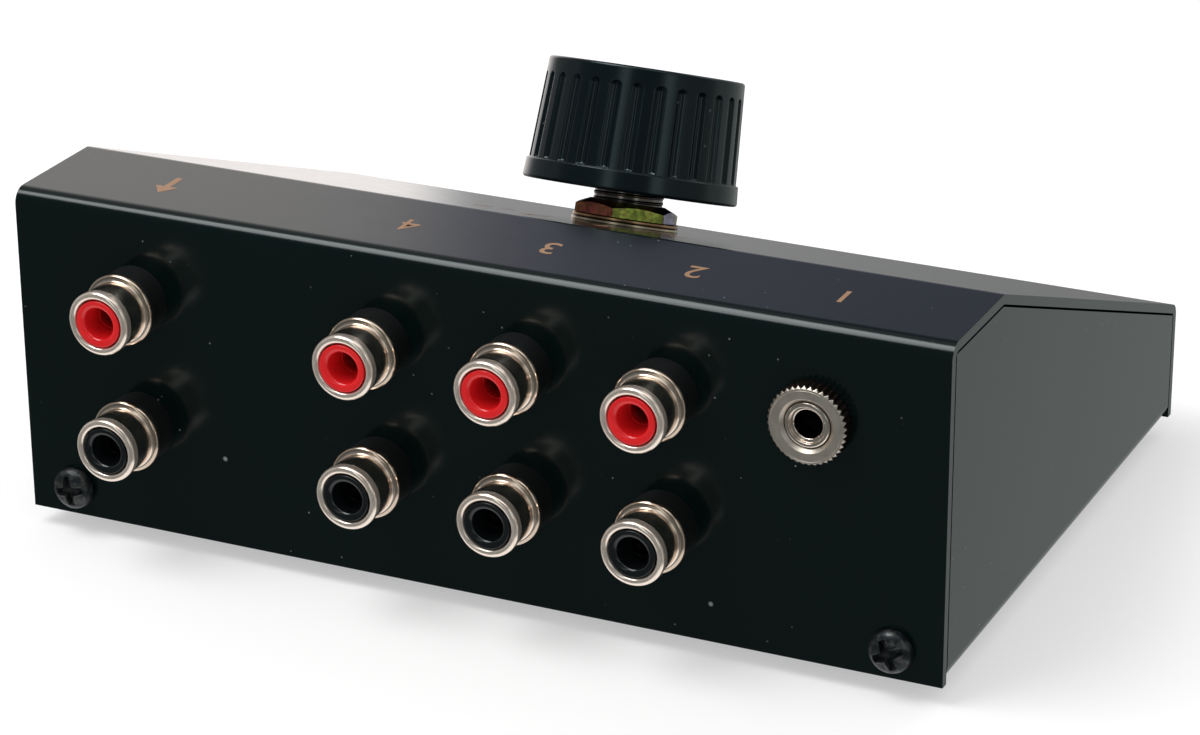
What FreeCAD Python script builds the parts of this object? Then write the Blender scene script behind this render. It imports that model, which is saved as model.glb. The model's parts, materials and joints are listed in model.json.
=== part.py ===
import FreeCAD, Part
import math
import os
from FreeCAD import Placement, Rotation, Vector

# A desk-top rotary source selector: a wedge-shaped folded steel case, a rear panel with four
# pairs of phono sockets and one 3.5 mm socket, and a two-pole four-way rotary switch with a
# fluted knob on the sloping top. Millimetres. +Z is up, the user's side faces -Y and the
# sockets face +Y. The origin is the centre of the whole footprint, on the plane of the feet.

# Case
case_width = 125.0
case_depth = 88.0
rear_height = 43.5
front_height = 16.0
strip_depth = 17.5
sheet = 1.2
bend_radius = 2.0
seam_gap = 0.3
flange_height = 9.0
flange_foot = 8.0
corner_relief = 0.9

# Feet
foot_height = 2.5
foot_radius = 5.0
foot_taper = 0.5
foot_inset = 11.0

# Case screws
screw_side_inset = 6.4
screw_rise = 3.8
screw_head_radius = 2.8
screw_head_height = 2.0
screw_shank_radius = 1.5
screw_length = 6.0
screw_point = 0.6
screw_point_share = 0.7
screw_overlap = 0.1
screw_turn = 20.0
head_edge_share = 0.75
head_edge_round_share = 0.6
head_crown_share = 0.35
recess_width = 0.8
recess_reach = 1.7
recess_depth = 1.2

# Clearances
slip = 0.05
thread_gap = 0.05
hole_gap = 0.2
tiny = 0.01
same_point = 1e-6
cut_past = 1.0

# Phono sockets, along the axis from the outer face of the rear panel
output_inset = 17.0
output_offset = 34.0
mini_inset = 16.85
pitches_to_mini = 3
lower_row = 14.4
row_pitch = 17.1
barrel_radius = 4.0
barrel_front = 9.3
bead_radius = 4.15
bead_length = 1.3
bead_round = 0.55
bead_inner_round = 0.33
bead_back_round = 0.1
ring_radius = 4.73
ring_thickness = 1.1
ring_front_round = 0.45
ring_back_round = 0.3
collar_radius = 4.45
collar_length = 3.4
collar_shoulder = 3.6
collar_round = 0.2
neck_radius = 3.0
neck_past_nut = 0.4
core_radius = 3.13
core_recess = 0.25
core_round = 0.2
core_tail_radius = 2.5
core_tail = 6.2
pin_hole_radius = 1.85
pin_mouth_round = 0.65
contact_wall = 0.25
contact_split = 0.25
contact_mouth = 3.2
grip_radius = 1.58
grip_length = 3.6
pin_depth = 14.6
contact_collar = 0.4
contact_tail_radius = 0.9
contact_tail = 4.0
cup_share = 0.6
cup_floor = 1.0
cup_open_share = 0.35
cup_side_width = 2.0
back_washer_thickness = 0.8
back_washer_radius = 5.0
lug_thickness = 0.4
lug_radius = 4.4
lug_tail_width = 2.2
lug_reach = 8.2
lug_eye_radius = 0.6
lug_eye_land = 0.8
socket_nut_across = 8.0
socket_nut_thickness = 2.0

# 3.5 mm socket
mini_nut_radius = 5.0
mini_nut_thickness = 2.3
mini_knurls = 40
mini_knurl_depth = 0.35
mini_nut_chamfer = 0.35
mini_groove = 0.2
mini_groove_inset = 0.35
mini_countersink = 0.35
mini_thread_radius = 2.9
mini_hole_radius = 1.8
mini_nose_step = 0.45
mini_mouth_round = 0.15
mini_land = 1.3
mini_relief = 0.5
mini_nose_recess = 0.25
mini_lip = 0.45
mini_lip_round = 0.1
mini_nose_round = 0.25
mini_flange_radius = 4.0
mini_flange_thickness = 1.0
mini_body_width = 9.6
mini_body_height = 8.4
mini_body_length = 12.0
mini_body_round = 0.5
mini_spring_width = 2.0
mini_spring_thickness = 0.35
mini_spring_rest = 3.2
mini_spring_bow = 2.15
mini_spring_tip = 3.0
mini_bow_length = 1.8
mini_tip_length = 1.6
mini_tip_depth = 9.0
mini_ring_depth = 5.6
mini_slot = 2.2
mini_slot_place = 2.6
mini_slot_front = 1.5
mini_tag_place = 3.9
mini_tag_length = 1.5
mini_lug_reach = 4.0

# Rotary switch, along its axis from the outer face of the slope
switch_along_slope = 31.6
bushing_radius = 4.5
bushing_front = 5.8
bushing_round = 0.3
shaft_radius = 3.0
shaft_gap = 0.04
shaft_tip = 0.5
shaft_tip_gap = 0.4
shaft_tail_gap = 0.5
flat_rise = 1.0
washer_radius = 7.0
washer_thickness = 0.5
washer_chamfer = 0.15
lock_washer_radius = 6.9
lock_teeth = 12
lock_slot_length = 1.6
lock_slot_width = 0.9
lock_slot_place = 0.6
switch_nut_across = 12.0
switch_nut_thickness = 2.0
nut_chamfer = 0.5
nut_face_share = 0.98
switch_nut_turn = 38.0
plate_radius = 12.0
plate_thickness = 1.5
tab_offset = 9.4
tab_width = 2.4
tab_thickness = 1.2
housing_length = 6.4
housing_overlap = 0.3
track_radius = 8.7
notch_radius = 1.9
notch_depth = 0.4
index_angle = 30.0
switch_ways = 4
rotor_radius = 7.4
rotor_end_gap = 0.35
rotor_round = 0.4
lug_gap = 0.15
lug_root = 1.0
tongue_thickness = 4.0
ball_radius = 1.5
ball_gap = 0.05
ball_hole_gap = 0.08
ball_rise = 0.4
spring_cup_share = 0.8
spring_wire = 0.18
spring_turns = 4
spring_steps = 10
spring_sides = 6
spring_seat = 0.7
stop_depth = 0.8
stop_height = 1.2
stop_width_angle = 16.0
stop_margin = 1.0
wafer_thickness = 1.6
wafer_hole_radius = 3.6
terminal_width = 2.2
terminal_thickness = 0.5
terminal_inner = 6.6
terminal_outer = 15.2
common_inner = 4.6
terminal_eye_radius = 0.6
terminal_eye_land = 1.4
carrier_radius = 8.3
carrier_thickness = 1.6
carrier_round = 0.3
wiper_gap = 0.1
wiper_thickness = 0.4
wiper_width = 2.0
wiper_dimple = 0.3
dimple_base = 0.6
dimple_tip = 0.25
dimple_inset = 1.0
cap_wall = 1.2
cap_length = 5.0
boss_wall = 0.9
rivet_radius = 0.9
rivet_circle = 10.4
rivet_head_radius = 1.6
rivet_head_height = 0.5
rivet_head_round = 0.3
clip_thickness = 0.45
clip_depth = 0.4
clip_radius = 4.2
clip_mouth_angle = 70.0

# Knob, along the same axis
knob_lift = 4.45
knob_height = 16.0
knob_base_radius = 14.1
knob_top_radius = 12.8
knob_skirt = 2.65
knob_skirt_round = 0.15
knob_skirt_step = 0.3
knob_top_band = 2.0
knob_flutes = 28
flute_depth = 0.65
flute_share = 0.4
flute_floor_share = 0.7
flute_mouth_share = 1.5
knob_wall = 1.6
knob_roof = 2.4
knob_edge_round = 0.35
top_dish = 0.4
top_rim = 1.4
top_slope = 0.3
top_rim_round = 0.15
top_dish_round = 0.1
hub_radius = 6.0
hub_ribs = 6
hub_rib_turn = 30.0
cavity_draft = 0.6
cavity_round = 0.8
hub_round = 0.5
hub_rib_width = 1.0
insert_radius = 4.6
insert_gap = 2.1
flat_depth = 0.5
set_screw_radius = 1.5
set_screw_length = 3.2
set_screw_rise = 5.6
hex_key_across = 1.5
hex_key_depth = 1.5
pointer_width = 1.0
pointer_length = 8.6
pointer_depth = 0.3
pointer_start_angle = 135.0
pointer_inset = 0.9
set_screw_turn = 180.0

# Shapes of fixed form
FULL_TURN = 360.0
HALF_TURN = 180.0
QUARTER_TURN = 90.0
HEXAGON_SIDES = 6
HEXAGON_TURN = 30.0
RIVET_TURNS = (0.0, 180.0)
SIDES = (-1, 1)
AXIS = Vector(0, 0, 1)
ORIGIN = Vector(0, 0, 0)

# Derived places
y_shift = (screw_head_height - barrel_front) / 2.0
rear_y = case_depth / 2.0 + y_shift
front_y = rear_y - case_depth
base_z = foot_height
slope_run = case_depth - strip_depth
slope_drop = rear_height - front_height
slope_angle = math.degrees(math.atan2(slope_drop, slope_run))
skin_inset = sheet + seam_gap
upper_row = lower_row + row_pitch
core_step = collar_length + ring_thickness / 2.0
rear_inner = -sheet
output_x = case_width / 2.0 - output_inset
mini_x = mini_inset - case_width / 2.0
socket_pitch = (output_x - output_offset - mini_x) / pitches_to_mini
screw_x = case_width / 2.0 - screw_side_inset
contact_radius = pin_hole_radius + contact_wall - slip
mini_front = rear_inner - slip - mini_flange_thickness
mini_back = mini_front - mini_body_length
mini_bore = mini_hole_radius + mini_relief
plate_top = rear_inner - slip
housing_top = plate_top - plate_thickness
housing_bottom = housing_top - housing_length
wafer_bottom = housing_bottom - wafer_thickness
terminal_bottom = wafer_bottom - terminal_thickness
cap_bottom = terminal_bottom - cap_length
wiper_low = terminal_bottom - wiper_thickness - wiper_dimple - wiper_gap
ball_level = (housing_top + housing_bottom) / 2.0 + ball_rise
ball_centre = track_radius - ball_radius - ball_gap
shaft_bottom = cap_bottom + cap_wall + shaft_tail_gap
shaft_top = knob_lift + knob_height - knob_roof - shaft_tip_gap
clip_low = bushing_front + slip
flat_low = knob_lift + flat_rise
set_screw_angle = pointer_start_angle + set_screw_turn
switch_travel = index_angle * (switch_ways - 1)
rows = {"red": upper_row, "black": lower_row}
columns = {"output": output_x}
for step in range(pitches_to_mini):
    columns[f"input_{switch_ways - step}"] = output_x - output_offset - step * socket_pitch


def case_point(depth, height, x=0.0):
    """A row-frame point from its depth in front of the rear face and height above the underside."""
    return Vector(x, rear_y - depth, base_z + height)


def flat(a, b):
    """A point of a section drawn in the local XY plane."""
    return Vector(a, b, 0)


def polar(radius, angle):
    """A point at a radius and an angle in degrees."""
    return (radius * math.cos(math.radians(angle)), radius * math.sin(math.radians(angle)))


def outline(corners, place=flat):
    """A closed wire through (a, b, radius) corners: straight runs joined by tangent arcs."""
    count = len(corners)
    spans = []
    for i, (a, b, radius) in enumerate(corners):
        corner = flat(a, b)
        before = flat(*corners[i - 1][:2]) - corner
        after = flat(*corners[(i + 1) % count][:2]) - corner
        before.normalize()
        after.normalize()
        if radius <= 0:
            spans.append((corner, None, corner))
            continue
        half = before.getAngle(after) / 2.0
        reach = radius / math.tan(half)
        middle = before + after
        middle.normalize()
        crown = corner + middle * (radius / math.sin(half) - radius)
        spans.append((corner + before * reach, crown, corner + after * reach))
    edges = []
    for i, (start, crown, end) in enumerate(spans):
        if crown is not None:
            points = [place(p.x, p.y) for p in (start, crown, end)]
            edges.append(Part.Arc(*points).toShape())
        following = spans[(i + 1) % count][0]
        if end.distanceToPoint(following) > same_point:
            edges.append(Part.makeLine(place(end.x, end.y), place(following.x, following.y)))
    return Part.Wire(edges)


def offset_path(path, distance):
    """The open path moved sideways to its left by a distance, with its corners kept sharp."""
    lines = []
    for (ax, ay), (bx, by) in zip(path, path[1:]):
        length = math.hypot(bx - ax, by - ay)
        nx = -(by - ay) / length * distance
        ny = (bx - ax) / length * distance
        lines.append(((ax + nx, ay + ny), (bx + nx, by + ny)))
    moved = [lines[0][0]]
    for ((ax, ay), (bx, by)), ((cx, cy), (dx, dy)) in zip(lines, lines[1:]):
        cross = (bx - ax) * (dy - cy) - (by - ay) * (dx - cx)
        share = ((cx - ax) * (dy - cy) - (cy - ay) * (dx - cx)) / cross
        moved.append((ax + share * (bx - ax), ay + share * (by - ay)))
    return moved + [lines[-1][1]]


def folded_sheet(path, place, run):
    """A folded sheet: its outer face follows the path, its thickness lies to the left."""
    inner = offset_path(path, sheet)
    corners = []
    for i, point in enumerate(path):
        inside = 0 < i < len(path) - 1
        corners.append((*point, bend_radius if inside else 0.0))
    for i, point in reversed(list(enumerate(inner))):
        inside = 0 < i < len(path) - 1
        corners.append((*point, bend_radius - sheet if inside else 0.0))
    return Part.Face(outline(corners, place)).extrude(run)


def prism(points, place, run):
    """A straight prism on a polygon."""
    return Part.Face(outline([(a, b, 0.0) for a, b in points], place)).extrude(run)


def turned(corners):
    """A body of revolution about Z from (radius, height, rounding) corners."""
    face = Part.Face(outline(corners, lambda r, u: Vector(r, 0, u)))
    return face.revolve(ORIGIN, AXIS, FULL_TURN)


def rod(radius, low, high, x=0.0, y=0.0):
    """A cylinder along Z from one height to another."""
    return Part.makeCylinder(radius, high - low, Vector(x, y, low))


def side_rod(radius, start, end, height):
    """A cylinder along X at a height."""
    return Part.makeCylinder(radius, end - start, Vector(start, 0, height), Vector(1, 0, 0))


def ring(outer, inner, low, high, chamfer=0.0):
    """A ring about Z, with its upper outer edge chamfered where asked."""
    corners = [(inner, low, 0), (outer, low, 0), (outer, high - chamfer, 0)]
    if chamfer:
        corners.append((outer - chamfer, high, 0))
    else:
        corners[-1] = (outer, high, 0)
    return turned(corners + [(inner, high, 0)])


def block(length, width, low, high, x=0.0, y=0.0):
    """A box centred on (x, y) from one height to another."""
    return Part.makeBox(length, width, high - low, Vector(x - length / 2.0, y - width / 2.0, low))


def hexagon_points(across):
    """The corners of a hexagon given across its flats."""
    radius = across / math.sqrt(3.0)
    return [polar(radius, i * FULL_TURN / HEXAGON_SIDES) for i in range(HEXAGON_SIDES)]


def hexagon(across, low, high):
    """A hexagonal bar about Z, with its corners chamfered at the upper end."""
    points = hexagon_points(across)
    bar = prism(points, lambda a, b: Vector(a, b, low), Vector(0, 0, high - low))
    reach = across / math.sqrt(3.0) + cut_past
    dome = turned([(0, low - cut_past, 0), (reach, low - cut_past, 0), (reach, high - nut_chamfer, 0),
                   (across / 2.0 * nut_face_share, high, 0), (0, high, 0)])
    return bar.common(dome)


def spin(shape, angle):
    """A copy turned about Z by an angle in degrees."""
    copy = shape.copy()
    copy.rotate(ORIGIN, AXIS, angle)
    return copy


def shifted(shape, x):
    """A copy moved along X."""
    copy = shape.copy()
    copy.translate(Vector(x, 0, 0))
    return copy


def put(shape, frame):
    """A copy moved from a local frame to the row frame."""
    copy = shape.copy()
    copy.Placement = frame.multiply(copy.Placement)
    return copy


def panel_frame(x, height, outward=1):
    """The frame of something on the rear panel, or on the front lip, +Z out of the panel."""
    depth = 0.0 if outward > 0 else case_depth
    return Placement(case_point(depth, height, x), Rotation(Vector(1, 0, 0), -outward * QUARTER_TURN))


def switch_frame():
    """The frame of the rotary switch: +Z out of the slope, +Y up the slope."""
    angle = math.radians(slope_angle)
    depth = strip_depth + switch_along_slope * math.cos(angle)
    height = rear_height - switch_along_slope * math.sin(angle)
    return Placement(case_point(depth, height), Rotation(Vector(1, 0, 0), slope_angle))


def case_path():
    """The outer section of the cover, from the rear lower edge over the top to the front one."""
    return [(0.0, 0.0), (0.0, rear_height), (strip_depth, rear_height),
            (case_depth, front_height), (case_depth, 0.0)]


def screw_frames(outward):
    """The frames of the two case screws on one panel."""
    return [panel_frame(side * screw_x, screw_rise, outward) for side in SIDES]


def make_cover():
    """Rear panel, label strip, slope and front lip, folded from one sheet."""
    path = [(-depth, height) for depth, height in case_path()]
    start = -case_width / 2.0
    body = folded_sheet(path, lambda a, b: case_point(-a, b, start), Vector(case_width, 0, 0))
    through = (-sheet - cut_past, sheet)
    tools = []
    socket_hole = rod(collar_shoulder + slip, *through)
    for x in columns.values():
        for height in rows.values():
            tools.append(put(socket_hole, panel_frame(x, height)))
    tools.append(put(rod(mini_thread_radius + slip, *through), panel_frame(mini_x, upper_row)))
    screw_hole = rod(screw_shank_radius + hole_gap, *through)
    for outward in SIDES:
        tools.extend(put(screw_hole, frame) for frame in screw_frames(outward))
    tools.append(put(rod(bushing_radius + slip, *through), switch_frame()))
    slot = block(tab_width + 2 * hole_gap, tab_thickness + 2 * hole_gap, *through, 0, tab_offset)
    tools.append(put(slot, switch_frame()))
    return body.cut(tools)


def make_flange(depth, direction, width):
    """One screw flange of the base: an upright and the foot that joins it to the floor."""
    legs = [(depth, flange_height), (depth, 0.0), (depth + direction * flange_foot, 0.0)]
    if direction < 0:
        legs.reverse()
    return folded_sheet(legs, lambda a, b: case_point(a, b, -width / 2.0), Vector(width, 0, 0))


def make_base():
    """Floor, two cheeks and the two screw flanges, folded from one sheet."""
    half = case_width / 2.0
    path = [(-half, rear_height), (-half, 0.0), (half, 0.0), (half, rear_height)]
    length = case_depth - 2 * skin_inset
    tray = folded_sheet(path, lambda x, z: case_point(skin_inset, z, x), Vector(0, -length, 0))
    profile = offset_path(list(reversed(case_path())), skin_inset)
    profile[0] = (profile[0][0], 0.0)
    profile[-1] = (profile[-1][0], 0.0)
    past = half + cut_past
    trim = prism(profile, lambda d, z: case_point(d, z, -past), Vector(2 * past, 0, 0))
    tray = tray.common(trim)
    width = case_width - 2 * (sheet + corner_relief)
    for depth, direction in ((sheet, 1), (case_depth - sheet, -1)):
        corner = Part.makeBox(width, flange_foot, 2 * sheet)
        far = max(depth, depth + direction * flange_foot)
        corner.translate(case_point(far, -sheet / 2.0, -width / 2.0))
        tray = tray.cut(corner).fuse(make_flange(depth, direction, width))
    hole = rod(screw_shank_radius + thread_gap, -screw_length, cut_past)
    holes = [put(hole, frame) for outward in SIDES for frame in screw_frames(outward)]
    return tray.cut(holes).removeSplitter()


def make_screw():
    """A pan-head cross-recess screw, head up, seated at zero."""
    rise = screw_head_height
    edge = rise * head_edge_share
    head = turned([
        (0, 0, 0), (screw_head_radius, 0, 0), (screw_head_radius, edge, rise * head_edge_round_share),
        (screw_head_radius * head_crown_share, rise, screw_head_radius * head_edge_round_share), (0, rise, 0)])
    point = -screw_length + screw_point
    shank = turned([
        (0, -screw_length, 0), (screw_shank_radius * screw_point_share, -screw_length, 0),
        (screw_shank_radius, point, 0), (screw_shank_radius, screw_overlap, 0), (0, screw_overlap, 0)])
    cross = block(2 * recess_reach, recess_width, rise - recess_depth, rise + cut_past)
    cross = cross.fuse(spin(cross, QUARTER_TURN))
    return head.fuse(shank).cut(cross)


def make_feet():
    """Four moulded rubber pads on the underside."""
    pad = Part.makeCone(foot_radius - foot_taper, foot_radius, foot_height)
    feet = []
    for side in SIDES:
        for depth in (foot_inset, case_depth - foot_inset):
            corner = case_point(depth, -foot_height, side * (case_width / 2.0 - foot_inset))
            feet.append(put(pad, Placement(corner, Rotation())))
    return feet


def make_shell():
    """The plated socket barrel: rolled rim, stop ring and the threaded neck."""
    ring_front = collar_length + ring_thickness
    bead_back = barrel_front - bead_length
    stack = back_washer_thickness + lug_thickness + socket_nut_thickness
    neck_end = rear_inner - stack - neck_past_nut
    bore = core_radius + slip
    tail_bore = core_tail_radius + slip
    return turned([
        (bore, barrel_front, bead_inner_round), (bead_radius, barrel_front, bead_round),
        (bead_radius, bead_back, bead_back_round), (barrel_radius, bead_back, 0),
        (barrel_radius, ring_front, 0), (ring_radius, ring_front, ring_front_round),
        (ring_radius, collar_length, ring_back_round), (neck_radius, collar_length, 0),
        (neck_radius, neck_end, 0), (tail_bore, neck_end, 0), (tail_bore, core_step, 0),
        (bore, core_step, 0)])


def make_core():
    """The coloured insulator: a funnelled pin hole, a step and a tail that leaves the neck."""
    face = barrel_front - core_recess
    step = core_step + slip
    bore = contact_radius + slip
    bore_end = barrel_front - contact_mouth
    return turned([
        (pin_hole_radius, face, pin_mouth_round), (core_radius, face, core_round), (core_radius, step, 0),
        (core_tail_radius, step, 0), (core_tail_radius, -core_tail, 0), (bore, -core_tail, 0),
        (bore, bore_end, 0), (pin_hole_radius, bore_end, 0)])


def make_contact():
    """The centre contact: a split tube that grips the pin, closed behind, with a solder cup."""
    mouth = barrel_front - contact_mouth - slip
    floor = barrel_front - pin_depth
    end = -core_tail - contact_collar
    tail_end = end - contact_tail
    tube = turned([
        (grip_radius, mouth, 0), (contact_radius, mouth, 0), (contact_radius, end, 0),
        (contact_tail_radius, end, 0), (contact_tail_radius, tail_end, 0), (0, tail_end, 0),
        (0, floor, 0), (grip_radius, floor, 0)])
    split = block(4 * contact_radius, contact_split, mouth - grip_length, mouth + cut_past)
    cup = rod(contact_tail_radius * cup_share, tail_end - cut_past, end - cup_floor)
    side_place = -contact_tail_radius - cup_side_width / 2.0 + contact_tail_radius / 2.0
    side = block(cup_side_width, cup_side_width, tail_end - cut_past, end - contact_tail * cup_open_share,
                 0, side_place)
    return tube.cut([split, cup, side])


def make_collar():
    """The insulating collar between the stop ring and the panel, with a shoulder in the hole."""
    bore = neck_radius + slip
    inner_end = rear_inner + slip
    return turned([
        (bore, collar_length, 0), (collar_radius, collar_length, collar_round), (collar_radius, 0, 0),
        (collar_shoulder, 0, 0), (collar_shoulder, inner_end, 0), (bore, inner_end, 0)])


def make_lug():
    """A ground tag under the nut, its tail turned towards the middle of the panel."""
    high = rear_inner - back_washer_thickness
    low = high - lug_thickness
    tail_length = lug_reach - lug_tail_width / 2.0
    tail = block(lug_tail_width, tail_length, low, high, 0, tail_length / 2.0)
    end = rod(lug_tail_width / 2.0, low, high, 0, tail_length)
    body = rod(lug_radius, low, high).fuse([tail, end])
    eye_place = lug_reach - lug_eye_land - lug_eye_radius
    eye = rod(lug_eye_radius, low - cut_past, high + cut_past, 0, eye_place)
    bore = rod(neck_radius + slip, low - cut_past, high + cut_past)
    return body.cut([eye, bore])


def make_socket_nut():
    """The hexagonal nut inside the panel, its chamfered end away from the panel."""
    seat = back_washer_thickness + lug_thickness - rear_inner
    bar = spin(hexagon(socket_nut_across, seat, seat + socket_nut_thickness), HEXAGON_TURN)
    bar = bar.cut(rod(neck_radius + thread_gap, 0, 2 * seat + socket_nut_thickness))
    bar.rotate(ORIGIN, Vector(1, 0, 0), HALF_TURN)
    return bar


def make_mini_nut():
    """The knurled ring nut of the 3.5 mm socket, countersunk towards its thread."""
    points = []
    for i in range(2 * mini_knurls):
        radius = mini_nut_radius - (mini_knurl_depth if i % 2 else 0.0)
        points.append(polar(radius, i * HALF_TURN / mini_knurls))
    top = mini_nut_thickness
    star = prism(points, flat, Vector(0, 0, top))
    rim = mini_nut_radius - mini_nut_chamfer
    bore = mini_thread_radius + thread_gap
    outer = mini_nut_radius + tiny
    shape = turned([
        (bore, 0, 0), (rim, 0, 0), (outer, mini_nut_chamfer, 0), (outer, top - mini_nut_chamfer, 0),
        (rim, top, 0), (rim - mini_groove_inset, top, 0),
        (rim - mini_groove_inset - mini_groove / 2.0, top - mini_groove / 2.0, 0),
        (rim - mini_groove_inset - mini_groove, top, 0), (bore + mini_countersink, top, 0),
        (bore, top - mini_countersink, 0)])
    return star.common(shape)


def make_mini_bushing():
    """The plated threaded nose of the 3.5 mm socket, with its flange inside the panel."""
    nose = mini_nut_thickness - mini_nose_recess
    mouth = nose - mini_nose_step
    inner = rear_inner - slip
    lip = mini_hole_radius + mini_lip
    land_end = mouth - mini_mouth_round - mini_land
    return turned([
        (mini_hole_radius, mouth, mini_mouth_round), (lip, mouth, 0), (lip, nose, mini_lip_round),
        (mini_thread_radius, nose, mini_nose_round), (mini_thread_radius, inner, 0),
        (mini_flange_radius, inner, 0), (mini_flange_radius, mini_front, 0), (mini_bore, mini_front, 0),
        (mini_bore, land_end, 0), (mini_hole_radius, land_end, 0)])


def make_mini_body():
    """The moulded body of the 3.5 mm socket: a plug bore and slots for the springs."""
    body = block(mini_body_width, mini_body_height, mini_back, mini_front)
    uprights = [edge for edge in body.Edges if edge.BoundBox.ZLength > mini_body_length / 2.0]
    body = body.makeFillet(mini_body_round, uprights)
    cuts = [rod(mini_bore, mini_back - cut_past, mini_front + cut_past)]
    width = mini_spring_width + 2 * slip
    low = mini_back - cut_past
    for side in SIDES:
        cuts.append(block(mini_slot, width, low, mini_front - mini_slot_front, side * mini_slot_place))
        cuts.append(block(mini_slot, width, low, mini_back + mini_tag_length, side * mini_tag_place))
    return body.cut(cuts)


def make_mini_spring(side, contact_depth):
    """One spring of the 3.5 mm socket: a bowed leaf with a solder tag behind the body."""
    bend = mini_front - contact_depth
    points = [(mini_spring_rest, mini_back - mini_lug_reach), (mini_spring_rest, bend - mini_bow_length),
              (mini_spring_bow, bend), (mini_spring_tip, bend + mini_tip_length)]
    path = offset_path(points, mini_spring_thickness)
    shape = prism(points + list(reversed(path)), lambda r, u: Vector(r, -mini_spring_width / 2.0, u),
                  Vector(0, mini_spring_width, 0))
    return shape if side > 0 else spin(shape, HALF_TURN)


def rivet_holes():
    """The two holes through every layer of the switch."""
    return [spin(rod(rivet_radius + slip, cap_bottom - cut_past, cut_past, rivet_circle), turn)
            for turn in RIVET_TURNS]


def make_switch_bushing():
    """The threaded bushing and its mounting plate, with the tab that stops it turning."""
    bore = shaft_radius + shaft_gap
    tube = turned([
        (bore, bushing_front, 0), (bushing_radius, bushing_front, bushing_round),
        (bushing_radius, plate_top, 0), (plate_radius, plate_top, 0), (plate_radius, housing_top, 0),
        (bore, housing_top, 0)])
    tab = block(tab_width, tab_thickness, housing_top, -slip, 0, tab_offset)
    return tube.fuse(tab).cut(rivet_holes())


def wedge(start, width):
    """A tall wedge about Z, for cutting sectors from rings."""
    reach = 4 * plate_radius
    points = [(0.0, 0.0), polar(reach, start), polar(reach, start + width)]
    return prism(points, lambda a, b: Vector(a, b, -reach), Vector(0, 0, 2 * reach))


def make_switch_housing():
    """The index housing: a ring of notches for the ball, and two stops for the rotor."""
    body = ring(plate_radius, track_radius, housing_bottom, housing_top)
    centre = track_radius + notch_depth - notch_radius
    notch = rod(notch_radius, housing_bottom - cut_past, housing_top + cut_past, centre)
    notches = [spin(notch, i * index_angle) for i in range(int(round(FULL_TURN / index_angle)))]
    body = body.cut(notches + rivet_holes())
    sector = ring(track_radius + notch_depth + housing_overlap, track_radius - stop_depth,
                  housing_bottom, housing_bottom + stop_height)
    far_start = HALF_TURN + stop_width_angle / 2.0 + stop_margin
    near_start = HALF_TURN - switch_travel - 1.5 * stop_width_angle - stop_margin
    for start in (far_start, near_start):
        body = body.fuse(sector.common(wedge(start, stop_width_angle)))
    return body.removeSplitter()


def tongue(gap, low=None):
    """The flatted inner end of the shaft, grown by a gap."""
    low = cap_bottom - cut_past if low is None else low
    bar = rod(shaft_radius + gap, low, housing_top)
    return bar.common(block(4 * shaft_radius, tongue_thickness + 2 * gap, low, housing_top))


def make_rotor():
    """The indexing rotor: it carries the ball and spring, and its lug meets the stops."""
    low = housing_bottom + rotor_end_gap
    high = housing_top - rotor_end_gap
    body = turned([(0, low, 0), (rotor_radius, low, 0), (rotor_radius, high, rotor_round), (0, high, 0)])
    lug = ring(track_radius - lug_gap, rotor_radius - lug_root, low, housing_bottom + stop_height)
    lug = lug.common(wedge(HALF_TURN - stop_width_angle / 2.0, stop_width_angle))
    hole = side_rod(ball_radius + ball_hole_gap, shaft_radius + spring_seat, 2 * rotor_radius, ball_level)
    return body.fuse(lug).cut([hole, tongue(slip)])


def make_ball():
    """The steel index ball, level with the crests between the notches."""
    return Part.makeSphere(ball_radius, Vector(ball_centre, 0, ball_level))


def make_spring():
    """The coil spring behind the ball, lofted through sections of its wire round the coil."""
    inner = shaft_radius + spring_seat + slip + spring_wire
    outer = ball_centre - ball_radius * spring_cup_share - spring_wire
    coil_radius = ball_radius - spring_wire - 2 * slip
    sections = []
    for i in range(spring_turns * spring_steps + 1):
        share = i / (spring_turns * spring_steps)
        out = Vector(0, *polar(1.0, share * spring_turns * FULL_TURN))
        middle = Vector(inner + (outer - inner) * share, 0, ball_level) + out * coil_radius
        points = []
        for side in range(spring_sides):
            radial, along = polar(spring_wire, side * FULL_TURN / spring_sides)
            points.append(middle + out * radial + Vector(along, 0, 0))
        sections.append(Part.makePolygon(points + [points[0]]))
    return Part.makeLoft(sections, True, True)


def make_wafer():
    """The insulating disc that carries the terminals."""
    return ring(plate_radius, wafer_hole_radius, wafer_bottom, housing_bottom).cut(rivet_holes())


def make_terminals():
    """Ten flat terminals under the wafer: four ways and one common for each pole."""
    tags = []
    for pole in (0.0, HALF_TURN):
        for way in range(switch_ways + 1):
            inner = common_inner if way == switch_ways else terminal_inner
            length = terminal_outer - inner
            tag = block(length, terminal_width, terminal_bottom, wafer_bottom, inner + length / 2.0)
            eye = rod(terminal_eye_radius, terminal_bottom - cut_past, wafer_bottom + cut_past,
                      terminal_outer - terminal_eye_land)
            tags.append(spin(tag.cut(eye), pole + index_angle * (way + 0.5)))
    return tags


def make_carrier():
    """The contact carrier on the shaft, under the terminals."""
    low = wiper_low - carrier_thickness
    body = turned([
        (0, low, 0), (carrier_radius, low, carrier_round), (carrier_radius, wiper_low, 0), (0, wiper_low, 0)])
    return body.cut(tongue(slip))


def make_wipers():
    """Two sprung wiper blades on the carrier, one for each pole."""
    length = carrier_radius - common_inner
    top = wiper_low + wiper_thickness
    blade = block(length, wiper_width, wiper_low, top, common_inner + length / 2.0)
    for x in (common_inner + dimple_inset, carrier_radius - dimple_inset):
        blade = blade.fuse(Part.makeCone(dimple_base, dimple_tip, wiper_dimple, Vector(x, 0, top)))
    return [spin(blade, pole + index_angle / 2.0) for pole in (0.0, HALF_TURN)]


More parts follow.
